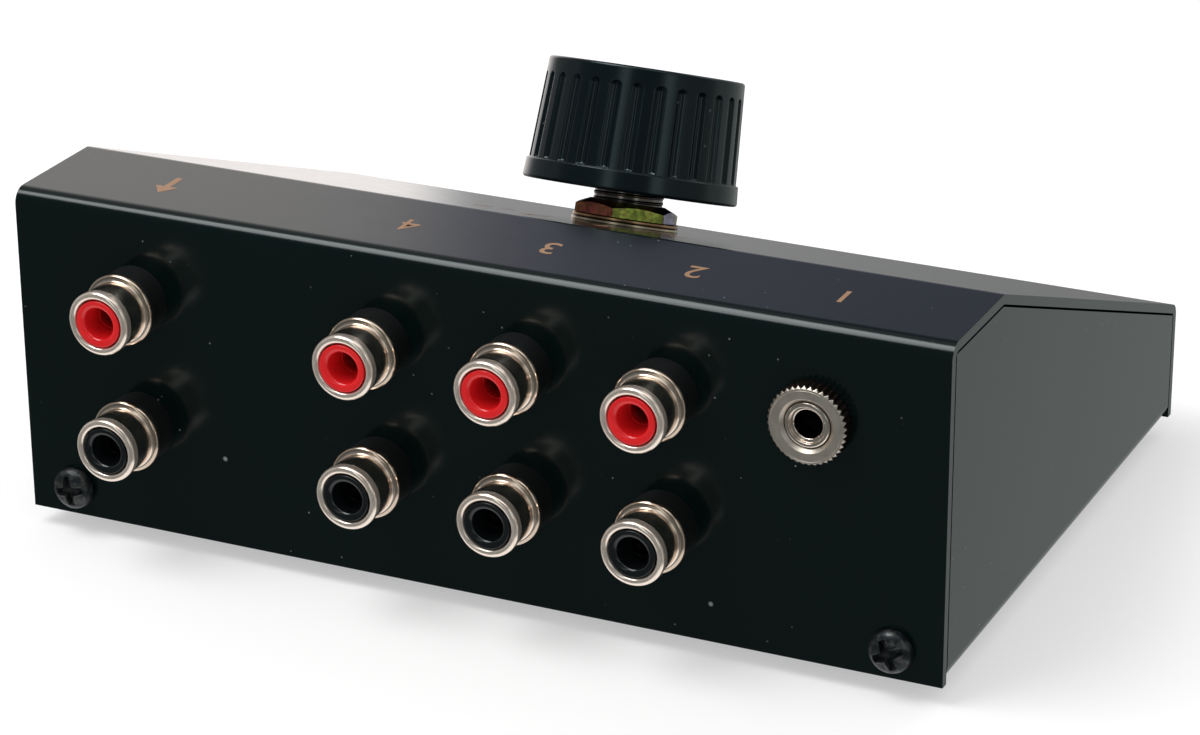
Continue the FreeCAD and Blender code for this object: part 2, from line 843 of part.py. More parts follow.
def make_cap():
    """The moulded rear cap of the switch."""
    top = terminal_bottom - slip
    wall = ring(plate_radius, plate_radius - cap_wall, cap_bottom, top)
    floor = rod(plate_radius, cap_bottom, cap_bottom + cap_wall)
    disc = rod(plate_radius, cap_bottom, top)
    boss = rod(rivet_radius + boss_wall, cap_bottom, top, rivet_circle).common(disc)
    bosses = [spin(boss, turn) for turn in RIVET_TURNS]
    return wall.fuse([floor] + bosses).cut(rivet_holes()).removeSplitter()


def make_rivets():
    """Two rivets that hold the layers of the switch together."""
    head_end = cap_bottom - rivet_head_height
    rivet = turned([
        (0, plate_top, 0), (rivet_radius, plate_top, 0), (rivet_radius, cap_bottom, 0),
        (rivet_head_radius, cap_bottom, 0), (rivet_head_radius, head_end, rivet_head_round),
        (0, head_end, 0)])
    return [spin(shifted(rivet, rivet_circle), turn) for turn in RIVET_TURNS]


def make_flat_washer():
    """The flat washer on the slope."""
    return ring(washer_radius, bushing_radius + slip, 0, washer_thickness, washer_chamfer)


def make_lock_washer():
    """The internal-tooth lock washer under the nut."""
    low = washer_thickness
    high = 2 * washer_thickness
    body = ring(lock_washer_radius, bushing_radius + slip, low, high, washer_chamfer)
    slot = block(lock_slot_length, lock_slot_width, low - cut_past, high + cut_past,
                 bushing_radius + lock_slot_place)
    return body.cut([spin(slot, i * FULL_TURN / lock_teeth) for i in range(lock_teeth)])


def make_switch_nut():
    """The hexagonal bushing nut."""
    low = 2 * washer_thickness
    high = low + switch_nut_thickness
    bar = hexagon(switch_nut_across, low, high)
    return spin(bar.cut(rod(bushing_radius + thread_gap, low - cut_past, high + cut_past)), switch_nut_turn)


def make_shaft():
    """The switch shaft: a tongue inside, a clip groove, and a flat under the knob's screw."""
    upper = turned([
        (0, housing_top, 0), (shaft_radius, housing_top, 0), (shaft_radius, shaft_top - shaft_tip, 0),
        (shaft_radius - shaft_tip, shaft_top, 0), (0, shaft_top, 0)])
    groove = ring(shaft_radius + cut_past, shaft_radius - clip_depth, clip_low - slip,
                  clip_low + clip_thickness + slip)
    flat_cut = block(2 * shaft_radius, 4 * shaft_radius, flat_low, shaft_top + cut_past,
                     2 * shaft_radius - flat_depth)
    body = upper.fuse(tongue(0, shaft_bottom)).removeSplitter()
    return body.cut([groove, spin(flat_cut, set_screw_angle)])


def make_clip():
    """The open retaining clip that sits on the end of the bushing."""
    body = ring(clip_radius, shaft_radius - clip_depth + slip, clip_low, clip_low + clip_thickness)
    return body.cut(wedge(-QUARTER_TURN - clip_mouth_angle / 2.0, clip_mouth_angle))


def knob_radius(height):
    """The tapered outside radius of the knob above its skirt."""
    share = height / knob_height
    return knob_base_radius + (knob_top_radius - knob_base_radius) * share


def grip_radius_at(height):
    """The radius of the fluted grip, which starts a step inside the skirt."""
    share = (height - knob_skirt) / (knob_height - knob_skirt)
    return knob_radius(height) - knob_skirt_step * (1.0 - share)


def knob_outside():
    """The plain outside of the knob: stepped skirt, tapered grip, dished top."""
    top = knob_height
    rim = knob_top_radius - top_rim
    dish = top - top_dish
    return turned([
        (0, 0, 0), (knob_base_radius, 0, knob_edge_round),
        (knob_radius(knob_skirt), knob_skirt, knob_skirt_round), (grip_radius_at(knob_skirt), knob_skirt, 0),
        (knob_top_radius, top, knob_edge_round), (rim, top, top_rim_round),
        (rim - top_slope, dish, top_dish_round), (0, dish, 0)])


def flute_tool():
    """One groove of the grip, tapering with it."""
    sections = []
    for height in (knob_skirt, knob_height - knob_top_band):
        outer = grip_radius_at(height)
        width = 2 * math.pi * outer / knob_flutes * flute_share
        floor = outer - flute_depth
        mouth = outer + cut_past
        floor_half = width * flute_floor_share / 2.0
        mouth_half = width * flute_mouth_share / 2.0
        corners = [(floor, -floor_half, 0.0), (floor, floor_half, 0.0), (mouth, mouth_half, 0.0),
                   (mouth, -mouth_half, 0.0)]
        sections.append(outline(corners, lambda a, b: Vector(a, b, height)))
    return Part.makeLoft(sections, True, True)


def make_knob():
    """The moulded fluted knob, hollow below, with a ribbed hub."""
    groove = flute_tool()
    body = knob_outside().cut([spin(groove, i * FULL_TURN / knob_flutes) for i in range(knob_flutes)])
    roof = knob_height - knob_roof
    cavity = turned([
        (hub_radius, -cut_past, 0), (knob_base_radius - knob_wall, -cut_past, 0),
        (knob_top_radius - knob_wall - cavity_draft, roof, cavity_round), (hub_radius, roof, hub_round)])
    span = knob_base_radius - hub_radius
    rib = block(span, hub_rib_width, knob_skirt, roof + cut_past, hub_radius + span / 2.0)
    start = set_screw_angle + hub_rib_turn
    cavity = cavity.cut([spin(rib, start + i * FULL_TURN / hub_ribs) for i in range(hub_ribs)])
    bore = rod(insert_radius + slip, -cut_past, roof)
    hub_foot = rod(hub_radius + cut_past, -cut_past, insert_gap)
    access = side_rod(set_screw_radius + slip, insert_radius - cut_past, 2 * knob_base_radius, set_screw_rise)
    return body.cut([cavity, bore, hub_foot, spin(access, set_screw_angle), pointer_bar(slip, cut_past)])


def pointer_bar(gap, above):
    """The pointer line on the top of the knob, grown by a gap, reaching above the dish where cut."""
    top = knob_height - top_dish
    reach = knob_top_radius - top_rim - pointer_inset
    bar = block(pointer_length + 2 * gap, pointer_width + 2 * gap, top - pointer_depth - gap, top + above,
                reach - pointer_length / 2.0)
    return spin(bar, pointer_start_angle)


def make_insert():
    """The brass insert in the knob's hub, tapped for the set screw."""
    body = ring(insert_radius, shaft_radius + shaft_gap, insert_gap, knob_height - knob_roof - slip)
    tapped = side_rod(set_screw_radius + thread_gap, 0, 2 * insert_radius, set_screw_rise)
    return body.cut(spin(tapped, set_screw_angle))


def make_set_screw():
    """The socket set screw, its point on the shaft's flat."""
    start = shaft_radius - flat_depth + slip
    end = start + set_screw_length
    body = side_rod(set_screw_radius, start, end, set_screw_rise)
    floor = end - hex_key_depth
    key = prism(hexagon_points(hex_key_across), lambda a, b: Vector(floor, a, b + set_screw_rise),
                Vector(hex_key_depth + cut_past, 0, 0))
    return spin(body.cut(key), set_screw_angle)


def save(name, shapes):
    """Write one node, as one solid or a group of separate solids."""
    solids = [solid for shape in shapes for solid in shape.Solids]
    result = solids[0] if len(solids) == 1 else Part.makeCompound(solids)
    result.exportStep(os.path.join("parts", name + ".step"))
    valid = all(solid.isValid() for solid in solids)
    volume = round(sum(solid.Volume for solid in solids), 2)
    print(name, len(solids), volume, "valid" if valid else "INVALID")


def save_case():
    """The cover, the base, the screws and the feet."""
    save("cover", [make_cover()])
    save("base", [make_base()])
    screw = make_screw()
    turned_screws = [spin(screw, screw_turn * side) for side in SIDES]
    for name, outward in (("rear_case_screws", 1), ("front_case_screws", -1)):
        frames = screw_frames(outward)
        save(name, [put(piece, frame) for piece, frame in zip(turned_screws, frames)])
    save("rubber_feet", make_feet())


def save_sockets():
    """The eight phono sockets and the 3.5 mm socket."""
    single = {"shell": make_shell(), "core": make_core(), "contact": make_contact()}
    washer_low = rear_inner - back_washer_thickness
    lug = make_lug()
    shared = {
        "socket_collars": make_collar(),
        "socket_back_washers": ring(back_washer_radius, neck_radius + slip, washer_low, rear_inner),
        "socket_nuts": make_socket_nut(),
    }
    groups = {name: [] for name in [*shared, "socket_ground_lugs"]}
    for column, x in columns.items():
        for colour, height in rows.items():
            frame = panel_frame(x, height)
            for part, shape in single.items():
                save(f"{column}_{colour}_{part}", [put(shape, frame)])
            for name, shape in shared.items():
                groups[name].append(put(shape, frame))
            inward = lug if colour == "red" else spin(lug, HALF_TURN)
            groups["socket_ground_lugs"].append(put(inward, frame))
    for name, pieces in groups.items():
        save(name, pieces)

    mini = panel_frame(mini_x, upper_row)
    save("mini_socket_nut", [put(make_mini_nut(), mini)])
    save("mini_socket_bushing", [put(make_mini_bushing(), mini)])
    save("mini_socket_body", [put(make_mini_body(), mini)])
    save("mini_socket_tip_spring", [put(make_mini_spring(1, mini_tip_depth), mini)])
    save("mini_socket_ring_spring", [put(make_mini_spring(-1, mini_ring_depth), mini)])


def save_switch():
    """The rotary switch."""
    pieces = {
        "switch_bushing": [make_switch_bushing()], "switch_housing": [make_switch_housing()],
        "switch_wafer": [make_wafer()], "switch_terminals": make_terminals(), "switch_cap": [make_cap()],
        "switch_rivets": make_rivets(), "switch_nut": [make_switch_nut()],
        "switch_lock_washer": [make_lock_washer()], "switch_flat_washer": [make_flat_washer()],
        "switch_shaft": [make_shaft()], "shaft_clip": [make_clip()], "switch_rotor": [make_rotor()],
        "contact_carrier": [make_carrier()], "switch_wipers": make_wipers(), "detent_ball": [make_ball()],
        "detent_spring": [make_spring()],
    }
    frame = switch_frame()
    for name, shapes in pieces.items():
        save(name, [put(shape, frame) for shape in shapes])


def save_knob():
    """The knob, its insert, its set screw and its pointer."""
    frame = switch_frame().multiply(Placement(Vector(0, 0, knob_lift), Rotation()))
    save("knob_body", [put(make_knob(), frame)])
    save("knob_insert", [put(make_insert(), frame)])
    save("knob_set_screw", [put(make_set_screw(), frame)])
    save("knob_pointer", [put(pointer_bar(0, 0), frame)])


os.makedirs("parts", exist_ok=True)
save_case()
save_sockets()
save_switch()
save_knob()
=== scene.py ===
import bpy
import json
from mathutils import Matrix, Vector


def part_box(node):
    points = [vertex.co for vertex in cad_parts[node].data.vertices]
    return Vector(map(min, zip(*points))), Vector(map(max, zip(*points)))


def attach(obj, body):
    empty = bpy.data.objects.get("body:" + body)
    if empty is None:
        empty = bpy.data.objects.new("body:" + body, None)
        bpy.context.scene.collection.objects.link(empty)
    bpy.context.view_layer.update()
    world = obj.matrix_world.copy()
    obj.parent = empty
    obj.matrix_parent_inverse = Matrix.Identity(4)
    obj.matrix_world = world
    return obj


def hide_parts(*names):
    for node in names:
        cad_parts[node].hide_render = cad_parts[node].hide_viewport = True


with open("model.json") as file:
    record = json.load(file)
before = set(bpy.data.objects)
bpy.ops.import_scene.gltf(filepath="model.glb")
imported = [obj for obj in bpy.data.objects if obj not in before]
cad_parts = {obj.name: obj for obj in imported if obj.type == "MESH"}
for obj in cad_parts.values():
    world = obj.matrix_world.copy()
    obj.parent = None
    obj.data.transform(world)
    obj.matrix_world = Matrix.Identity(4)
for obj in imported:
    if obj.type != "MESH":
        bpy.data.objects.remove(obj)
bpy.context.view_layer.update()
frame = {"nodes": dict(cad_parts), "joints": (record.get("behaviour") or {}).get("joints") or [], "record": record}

# %% [markdown]
# # A desk-top source selector
#
# The object is a wedge-shaped steel box. Its tall side carries four pairs of phono sockets and one
# small jack, and its sloping top carries a rotary switch with a fluted knob. The pieces that fit
# and move are already in the frame. This lesson gives them their finish, remakes the pieces whose
# curves catch the light, and takes the picture.

# %% Tools and units
import json
import math

import bpy
import numpy as np
from mathutils import Matrix, Vector

MM = 0.001
FULL_TURN = 2 * math.pi
nodes = frame["nodes"]
print("pieces in the frame:", len(nodes))

# %% [markdown]
# ## Where things are
#
# A new piece must sit where the frame says, so its place is measured and never typed in. The
# knob's joint gives the switch's axis, the cover's box gives the panel and the label strip, and a
# socket's shell gives its column and row. A piece is drawn round its own axis, and one matrix then
# lays it in place, so that a section can be written in plain millimetres.

# %% Places on the object
turn = next(joint for joint in frame["joints"] if joint["name"] == "selector_turn")
switch_origin = Vector(turn["pos_m"])
switch_out = -Vector(turn["axis"])
backwards, upwards = Vector((0, 1, 0)), Vector((0, 0, 1))
cover_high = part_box("cover")[1]
panel_y, strip_z = cover_high.y, cover_high.z


def place(origin, out, up):
    """A matrix that takes local +Z to out and local +Y as near to up as it can."""
    z = out.normalized()
    x = up.cross(z).normalized()
    y = z.cross(x)
    axes = Matrix((x, y, z)).transposed().to_4x4()
    return Matrix.Translation(origin) @ axes


def on_panel(x, z):
    """The place of a piece that stands out from the rear panel at this x and z."""
    return place(Vector((x, panel_y, z)), backwards, upwards)


def middle(node):
    """The centre of a node's box."""
    low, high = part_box(node)
    return (low + high) / 2


def socket_place(node):
    """The place of a socket: where its axis meets the panel."""
    centre = middle(node)
    return on_panel(centre.x, centre.z)


switch_place = place(switch_origin, switch_out, backwards)
print("panel at y =", round(panel_y / MM, 2), "mm, switch at",
      [round(v / MM, 1) for v in switch_origin])

# %% [markdown]
# ## Camera
#
# The picture was taken from behind the box, a little to one side and above it, with a long lens. A
# camera could be aimed by eye, but a few numbers describe it better: how far round it looks from,
# how high, how much it leans, where it stands and how long its lens is. They were fitted to the
# corners and sockets in the photograph, so the picture's edges fall where the photograph's do.

# %% Camera
camera_around = math.radians(25.10)
camera_above = math.radians(23.01)
camera_lean = math.radians(-0.377)
camera_place = Vector((-205.763, 440.405, 223.418)) * MM
picture_width = 1200
focal_pixels = 4051.5
sensor_width = 36.0
nearest_seen = 0.01

camera_back = Vector((-math.sin(camera_around) * math.cos(camera_above),
                      math.cos(camera_around) * math.cos(camera_above),
                      math.sin(camera_above)))
camera_data = bpy.data.cameras.new("camera")
camera_data.sensor_fit = "HORIZONTAL"
camera_data.sensor_width = sensor_width
camera_data.lens = sensor_width * focal_pixels / picture_width
camera_data.clip_start = nearest_seen
camera = bpy.data.objects.new("camera", camera_data)
level = camera_back.to_track_quat("Z", "Y").to_matrix()
lean = Matrix.Rotation(camera_lean, 3, "Z")
camera.matrix_world = Matrix.Translation(camera_place) @ (level @ lean).to_4x4()
bpy.context.scene.collection.objects.link(camera)
bpy.context.scene.camera = camera
print("lens", round(camera_data.lens, 1), "mm")

# %% [markdown]
# ## Shader maths that reads like maths
#
# A finish is a network of nodes. Adding each one by hand hides the idea behind the wiring, so a
# small class wraps an output: adding or multiplying two wires adds the Math node that does it, and
# one method adds every other kind of node.

# %% Wires
class Wire:
    """One output of a shader node, with arithmetic that adds Math nodes."""

    def __init__(self, network, socket):
        self.network = network
        self.socket = socket

    def maths(self, operation, *values):
        inputs = dict(enumerate(values))
        return self.network.node("ShaderNodeMath", {"operation": operation}, inputs)

    def __add__(self, other):
        return self.maths("ADD", self, other)

    def __sub__(self, other):
        return self.maths("SUBTRACT", self, other)

    def __rsub__(self, other):
        return self.maths("SUBTRACT", other, self)

    def __mul__(self, other):
        return self.maths("MULTIPLY", self, other)

    __radd__ = __add__
    __rmul__ = __mul__

    def above(self, edge, soft):
        """A mask: 0 below the edge and 1 above it, blended from edge - soft to edge + soft."""
        return self.network.node("ShaderNodeMapRange", {"interpolation_type": "SMOOTHSTEP"},
                                 {"Value": self, "From Min": edge - soft, "From Max": edge + soft})

    def below(self, edge, soft):
        """A mask: 1 below the edge and 0 above it."""
        return 1 - self.above(edge, soft)


print("wires are ready")


# %% Networks
class Network:
    """A tree of shader nodes that is being wired."""

    def __init__(self, tree):
        self.tree = tree

    def feed(self, socket, value):
        """Give an input a wire or a fixed value."""
        if isinstance(value, Wire):
            self.tree.links.new(value.socket, socket)
        else:
            socket.default_value = value

    def node(self, kind, settings=None, inputs=None, out=0):
        """Add a node, set it up, feed its inputs, and return one of its outputs."""
        added = self.tree.nodes.new(kind)
        for name, value in (settings or {}).items():
            setattr(added, name, value)
        for key, value in (inputs or {}).items():
            self.feed(added.inputs[key], value)
        return Wire(self, added.outputs[out])

    def split(self, vector, letters="XYZ"):
        """The named parts of a vector, as wires."""
        return tuple(self.node("ShaderNodeSeparateXYZ", None, {0: vector}, letter)
                     for letter in letters)

    def mix(self, share, a, b):
        """A colour between a and b. In the Mix node, 0 is the share, 6 and 7 are the two colours,
        and output 2 is the mixed one."""
        return self.node("ShaderNodeMix", {"data_type": "RGBA"}, {0: share, 6: a, 7: b}, 2)


print("networks are ready")

# %% [markdown]
# ## What a finish is made of
#
# Real surfaces vary in three ways that a picture shows: a slow drift of colour and sheen, small
# marks such as dust and wear, and a very low relief. Pictures wrapped round a piece could give all
# three, but they blur up close and need a seam. Noise in the piece's own millimetres has neither
# fault, and its scale can be read off the real thing.

# %% Finishes
class Finish(Network):
    """A material being made, with its shader."""

    def __init__(self, name, fixed=None):
        self.material = bpy.data.materials.new(name)
        self.material.use_nodes = True
        super().__init__(self.material.node_tree)
        self.shader = self.tree.nodes["Principled BSDF"]
        for socket, value in (fixed or {}).items():
            self.set(socket, value)

    def set(self, name, value):
        """Give one of the shader's sockets a wire or a fixed value."""
        self.feed(self.shader.inputs[name], value)

    def here(self):
        """The point on the piece, in metres."""
        return self.node("ShaderNodeTexCoord", out="Object")

    def section(self):
        """Radius, height and tone of a swept piece, sizes in mm; zero on every other piece."""
        return self.node("ShaderNodeAttribute", {"attribute_name": "section"}, out="Vector")

    def noise(self, per_mm, detail=2.0):
        """Soft cloudy noise with about this many blobs to a millimetre."""
        return self.node("ShaderNodeTexNoise", None,
                         {"Vector": self.here(), "Scale": per_mm / MM, "Detail": detail}, "Fac")

    def specks(self, per_mm, size):
        """Scattered round specks, size given as a share of their spacing."""
        cells = self.node("ShaderNodeTexVoronoi", None,
                          {"Vector": self.here(), "Scale": per_mm / MM}, "Distance")
        return cells.below(size, size * 0.4)

    def bump(self, height, strength, depth_mm):
        """A small relief, fed to the shader's normal."""
        normal = self.node("ShaderNodeBump", None,
                           {"Height": height, "Strength": strength, "Distance": depth_mm * MM})
        self.set("Normal", normal)


def dye(red, green, blue):
    """A colour written as the eight-bit numbers of a screen. Above its dark end a screen shows
    ((s + 0.055) / 1.055) to the power of 2.4, and in the dark end s / 12.92."""
    screen = np.array([red, green, blue]) / 255
    low = screen / 12.92
    high = ((screen + 0.055) / 1.055) ** 2.4
    return (*np.where(screen <= 0.04045, low, high).tolist(), 1.0)


print("dark grey is", [round(v, 4) for v in dye(30, 30, 30)])

# %% [markdown]
# ## Case paint
#
# The box is powder coated in a soft black with a breath of green. Up close the coat has a faint
# orange peel, and a few pale grains of dust and fibre lie on it. Straight on it is almost black,
# but at a low angle it mirrors the studio, and that is why the end cheek looks grey. The gloss
# comes from the shader alone, so it stays right from every side.

# %% Case paint
def case_paint():
    coat = Finish("case_paint", {"Specular IOR Level": 0.4, "Specular Tint": (0.93, 1.0, 1.0, 1.0)})
    cloud = coat.noise(0.03, 3.0)
    dusty_place = coat.noise(0.05).above(0.5, 0.05)
    dust = coat.specks(0.42, 0.042) * dusty_place
    fibre = coat.specks(0.07, 0.02)
    body = coat.mix(cloud, dye(2, 12, 12), dye(4, 17, 17))
    coat.set("Base Color", coat.mix(dust + fibre, body, dye(120, 130, 127)))
    coat.set("Roughness", 0.13 + 0.06 * coat.noise(0.4, 3.0) + 0.3 * dust)
    orange_peel = coat.noise(1.3, 2.0)
    coat.bump(orange_peel + 2 * dust, 0.1, 0.02)
    return coat.material


finishes = {"case_paint": case_paint()}
print("finishes:", list(finishes))

# %% [markdown]
# ## Plated and plain metals
#
# Most of the metal parts differ only in colour and in how far wiping and handling have dulled
# them, so one function makes them. Two need more. Nickel on the sockets is a warm mirror; its
# rolled rim is partly diffuse, a painted highlight that keeps it pale, and its stop ring has a
# darker colour, a painted shade. The ring nut's nickel shows the rings of the lathe, and its
# knurled side is painted darker, a painted shade that leaves the chamfered tips bright. Both read
# the radius and height that every swept piece carries as an attribute, so the marks follow the
# turning and not the room.

# %% Plain metals
def metal(name, dark, light, rough, drift, blobs, detail):
    """A metal whose colour and sheen drift together."""
    stuff = Finish(name, {"Metallic": 1.0})
    smear = stuff.noise(blobs, detail)
    stuff.set("Base Color", stuff.mix(smear, dark, light))
    stuff.set("Roughness", rough + drift * smear)
    return stuff.material


finishes.update(
    contact_tin=metal("contact_tin", dye(140, 134, 122), dye(170, 162, 148), 0.34, 0.15, 0.8, 3.0),
    zinc_steel=metal("zinc_steel", dye(150, 152, 156), dye(190, 192, 196), 0.25, 0.2, 0.5, 4.0),
    shaft_steel=metal("shaft_steel", dye(165, 166, 166), dye(200, 200, 198), 0.22, 0.15, 0.7, 4.0),
    insert_brass=metal("insert_brass", dye(190, 150, 80), dye(220, 180, 105), 0.25, 0.15, 0.7, 4.0),
    silver_contact=metal("silver_contact", dye(200, 198, 192), dye(232, 230, 224),
                         0.2, 0.15, 0.9, 3.0))
print("finishes:", len(finishes))


# %% Nickel
def socket_nickel():
    plate = Finish("socket_nickel")
    smear = plate.noise(0.6, 4.0)
    radius, height = plate.split(plate.section(), "XY")
    # Painted highlight: the rolled rim is made partly diffuse, so its pale colour keeps it bright.
    brightened_rim = height.above(8.0, 0.06)
    # Painted shade: the stop ring gets a darker colour than the rest of the shell.
    stop_ring = radius.above(4.25, 0.06)
    unshaded = plate.mix(smear, dye(242, 222, 206), dye(253, 242, 230))
    plate.set("Base Color", plate.mix(stop_ring, unshaded, dye(212, 192, 174)))
    plate.set("Metallic", 1 - 0.2 * brightened_rim)
    plate.set("Roughness", 0.1 + 0.16 * smear)
    plate.bump(plate.noise(2.5, 3.0), 0.05, 0.01)
    return plate.material


def turned_nickel():
    plate = Finish("turned_nickel", {"Metallic": 1.0})
    smear = plate.noise(0.9, 5.0)
    lathe_rings = plate.node("ShaderNodeTexNoise", None, {"Vector": plate.section(), "Scale": 9.0})
    radius, height = plate.split(plate.section(), "XY")
    # Painted shade: the knurled side, below the chamfer, gets a dark colour, so the chamfered tips of the teeth
    # stand out bright.
    darkening = radius.above(4.3, 0.02) * height.below(1.9, 0.06)
    unshaded = plate.mix(smear, dye(186, 176, 164), dye(210, 202, 190))
    plate.set("Base Color", plate.mix(darkening, unshaded, dye(84, 72, 64)))
    plate.set("Roughness", 0.34 + 0.14 * smear)
    plate.bump(lathe_rings + 0.3 * plate.noise(5.0, 2.0), 0.35, 0.02)
    return plate.material


finishes.update(socket_nickel=socket_nickel(), turned_nickel=turned_nickel())
print("finishes:", len(finishes))

# %% [markdown]
# ## Chromate and black oxide
#
# The switch's nut is steel with a yellow chromate film, whose colour runs through rose, gold,
# green and lilac as the film's thickness changes. A painted gradient would look painted, so a slow
# noise walks along a colour ramp, and the tone that each face of the nut carries moves it on. The
# case screws are blackened in a bath, and handling has rubbed some of that away to a lighter grey.

# %% Chromate and black oxide
film_colours = ((0.32, dye(176, 92, 84)), (0.42, dye(190, 130, 84)), (0.48, dye(150, 172, 72)),
                (0.55, dye(190, 176, 92)), (0.64, dye(160, 148, 186)))
film_start = 0.11


def yellow_chromate():
    film = Finish("yellow_chromate", {"Metallic": 1.0})
    face_tone, = film.split(film.section(), "Z")
    drift = film.noise(0.14, 1.0) + 0.3 * film.noise(0.9, 3.0) + 0.2 * film.noise(4.0, 2.0)
    thickness = 0.5 * drift + face_tone + film_start
    darkening = film.noise(1.4, 4.0).above(0.5, 0.12)
    ramp = film.node("ShaderNodeValToRGB", None, {"Fac": thickness})
    stops = ramp.socket.node.color_ramp.elements
    while len(stops) < len(film_colours):
        stops.new(0.5)
    for stop, (position, colour) in zip(stops, film_colours):
        stop.position = position
        stop.color = colour
    film.set("Base Color", film.mix(0.55 * darkening, ramp, dye(70, 62, 44)))
    film.set("Roughness", 0.24 + 0.2 * film.noise(0.7, 4.0))
    film.bump(film.noise(3.0, 3.0), 0.1, 0.01)
    return film.material


def screw_black():
    oxide = Finish("screw_black", {"Metallic": 0.6})
    smear = oxide.noise(0.8, 3.0)
    worn = oxide.noise(1.1, 5.0).above(0.54, 0.07)
    dark = oxide.mix(smear, dye(18, 24, 27), dye(36, 42, 45))
    oxide.set("Base Color", oxide.mix(worn, dark, dye(66, 68, 68)))
    oxide.set("Roughness", 0.3 + 0.16 * smear - 0.08 * worn)
    oxide.bump(oxide.noise(3.0, 2.0), 0.15, 0.02)
    return oxide.material


finishes.update(yellow_chromate=yellow_chromate(), screw_black=screw_black())
print("finishes:", len(finishes))

# %% [markdown]
# ## Plastics and rubber
#
# The sockets' cores and the knob are glossy mouldings. Real gloss is never perfect: the grip of a
# knob is a little duller where fingers hold it, and everything carries a few specks. One function
# makes all of these, from two colours, a roughness and the grain of the mould.

# %% Plastics and rubber
def moulding(name, dark, light, rough, grain=1.0, relief=0.08, dusty=0.0, fixed=None):
    """A moulded plastic whose colour and sheen drift a little, with dust where asked."""
    stuff = Finish(name, fixed)
    drift = stuff.noise(0.25, 3.0)
    colour = stuff.mix(drift, dark, light)
    sheen = rough + 0.12 * stuff.noise(0.9, 3.0) - 0.06
    if dusty:
        dust = stuff.specks(0.3, 0.05) * stuff.noise(0.12).above(0.5, 0.06) * dusty
        colour = stuff.mix(dust, colour, dye(110, 115, 118))
        sheen = sheen + 0.3 * dust
    stuff.set("Base Color", colour)
    stuff.set("Roughness", sheen)
    stuff.bump(stuff.noise(grain, 3.0), relief, 0.02)
    return stuff.material


finishes.update(
    core_red=moulding("core_red", dye(205, 22, 28), dye(226, 36, 38), 0.16),
    core_black=moulding("core_black", dye(8, 12, 14), dye(16, 20, 22), 0.16),
    collar_black=moulding("collar_black", dye(10, 12, 13), dye(18, 21, 22), 0.45),
    socket_moulding=moulding("socket_moulding", dye(18, 18, 20), dye(30, 30, 32), 0.45),
    switch_moulding=moulding("switch_moulding", dye(26, 26, 28), dye(40, 40, 42), 0.5),
    rotor_moulding=moulding("rotor_moulding", dye(205, 198, 180), dye(222, 216, 200), 0.45),
    wafer_board=moulding("wafer_board", dye(120, 78, 46), dye(150, 102, 62), 0.6,
                         grain=3.0, relief=0.2),
    foot_rubber=moulding("foot_rubber", dye(20, 20, 21), dye(34, 34, 35), 0.8,
                         grain=4.0, relief=0.4),
    knob_gloss=moulding("knob_gloss", dye(6, 15, 19), dye(11, 20, 25), 0.2,
                        grain=1.5, relief=0.05, dusty=0.4,
                        fixed={"Specular IOR Level": 0.36, "Specular Tint": (0.8, 1.0, 1.0, 1.0)}),
    pointer_paint=moulding("pointer_paint", dye(225, 225, 220), dye(240, 240, 236), 0.5))

for entry in frame["record"]["subparts"]:
    piece = nodes[entry["node"]]
    piece.data.materials.clear()
    piece.data.materials.append(finishes[entry["material_slot"]])
print("finishes:", len(finishes), "on", len(nodes), "pieces")

# %% [markdown]
# ## Surfaces from arrays
#
# The sockets, the ring nut and the knob are turned or moulded round an axis. Blender's Screw
# modifier could sweep them, but knurls, flutes and a pressed cross change the radius from point to
# point, and in an array that is one more line of arithmetic. So each piece is a section swept once
# round. A section is written as corners $(r, u, \rho)$: radius, height and rounding. Where the
# rounding is $\rho$, the corner becomes an arc that leaves its two sides at
# $\rho / \tan(\alpha / 2)$ from the corner, $\alpha$ being the angle between them. Real edges are
# never sharp, and it is these small arcs that catch the light.

# %% Sections
def rounded(corners, steps=5, edge=0.02):
    """Points along a closed section of (radius, height, rounding) corners. The centre of a
    corner's arc lies on the bisector, at the rounding over the sine of half the angle, and one
    more point on each side, an edge away, keeps the flats flat under smooth shading."""
    corners = np.array(corners, float)
    points = corners[:, :2]
    before = np.roll(points, 1, axis=0) - points
    after = np.roll(points, -1, axis=0) - points
    before /= np.linalg.norm(before, axis=1)[:, None]
    after /= np.linalg.norm(after, axis=1)[:, None]
    found = []
    for point, back, ahead, radius in zip(points, before, after, corners[:, 2]):
        if radius == 0:
            found.append(point[None])
            continue
        half = math.acos(float(np.clip(back @ ahead, -1, 1))) / 2
        reach = radius / math.tan(half)
        inwards = back + ahead
        centre = point + inwards / np.linalg.norm(inwards) * radius / math.sin(half)
        start, end = point + back * reach - centre, point + ahead * reach - centre
        sweep = math.atan2(start[0] * end[1] - start[1] * end[0], float(start @ end))
        angle = math.atan2(start[1], start[0]) + np.linspace(0, sweep, steps + 1)
        arc = centre + radius * np.stack([np.cos(angle), np.sin(angle)], 1)
        found.append(np.vstack([point + back * (reach + edge), arc,
                                point + ahead * (reach + edge)]))
    return np.vstack(found)


square = [(1, 0, 0.1), (2, 0, 0.1), (2, 1, 0.1), (1, 1, 0.1)]
print("a rounded square has", len(rounded(square)), "points")


# %% Sweeping
def round_angles(around):
    """This many angles, evenly once round."""
    return np.linspace(0, FULL_TURN, around, endpoint=False)


def swept(section, around):
    """Rows of points: the section turned about the axis. x = r cos a, y = r sin a, z = u."""
    angle = round_angles(around)
    radius, height = section[:, :1], section[:, 1:]
    return np.stack([radius * np.cos(angle), radius * np.sin(angle), height + 0 * angle], -1)


print("swept in 8 steps, that square is an array of", swept(rounded(square), 8).shape)

# %% [markdown]
# ## From rows of points to a piece
#
# A piece rides on a body of the frame, so that it moves with the real joint, and it may stand for
# a solid of the frame. The points become a mesh whose faces all look outwards: the sign of the
# volume, which is a sum of triple products, tells which way they look. The mesh also keeps each
# point's radius, height and tone for the finishes.

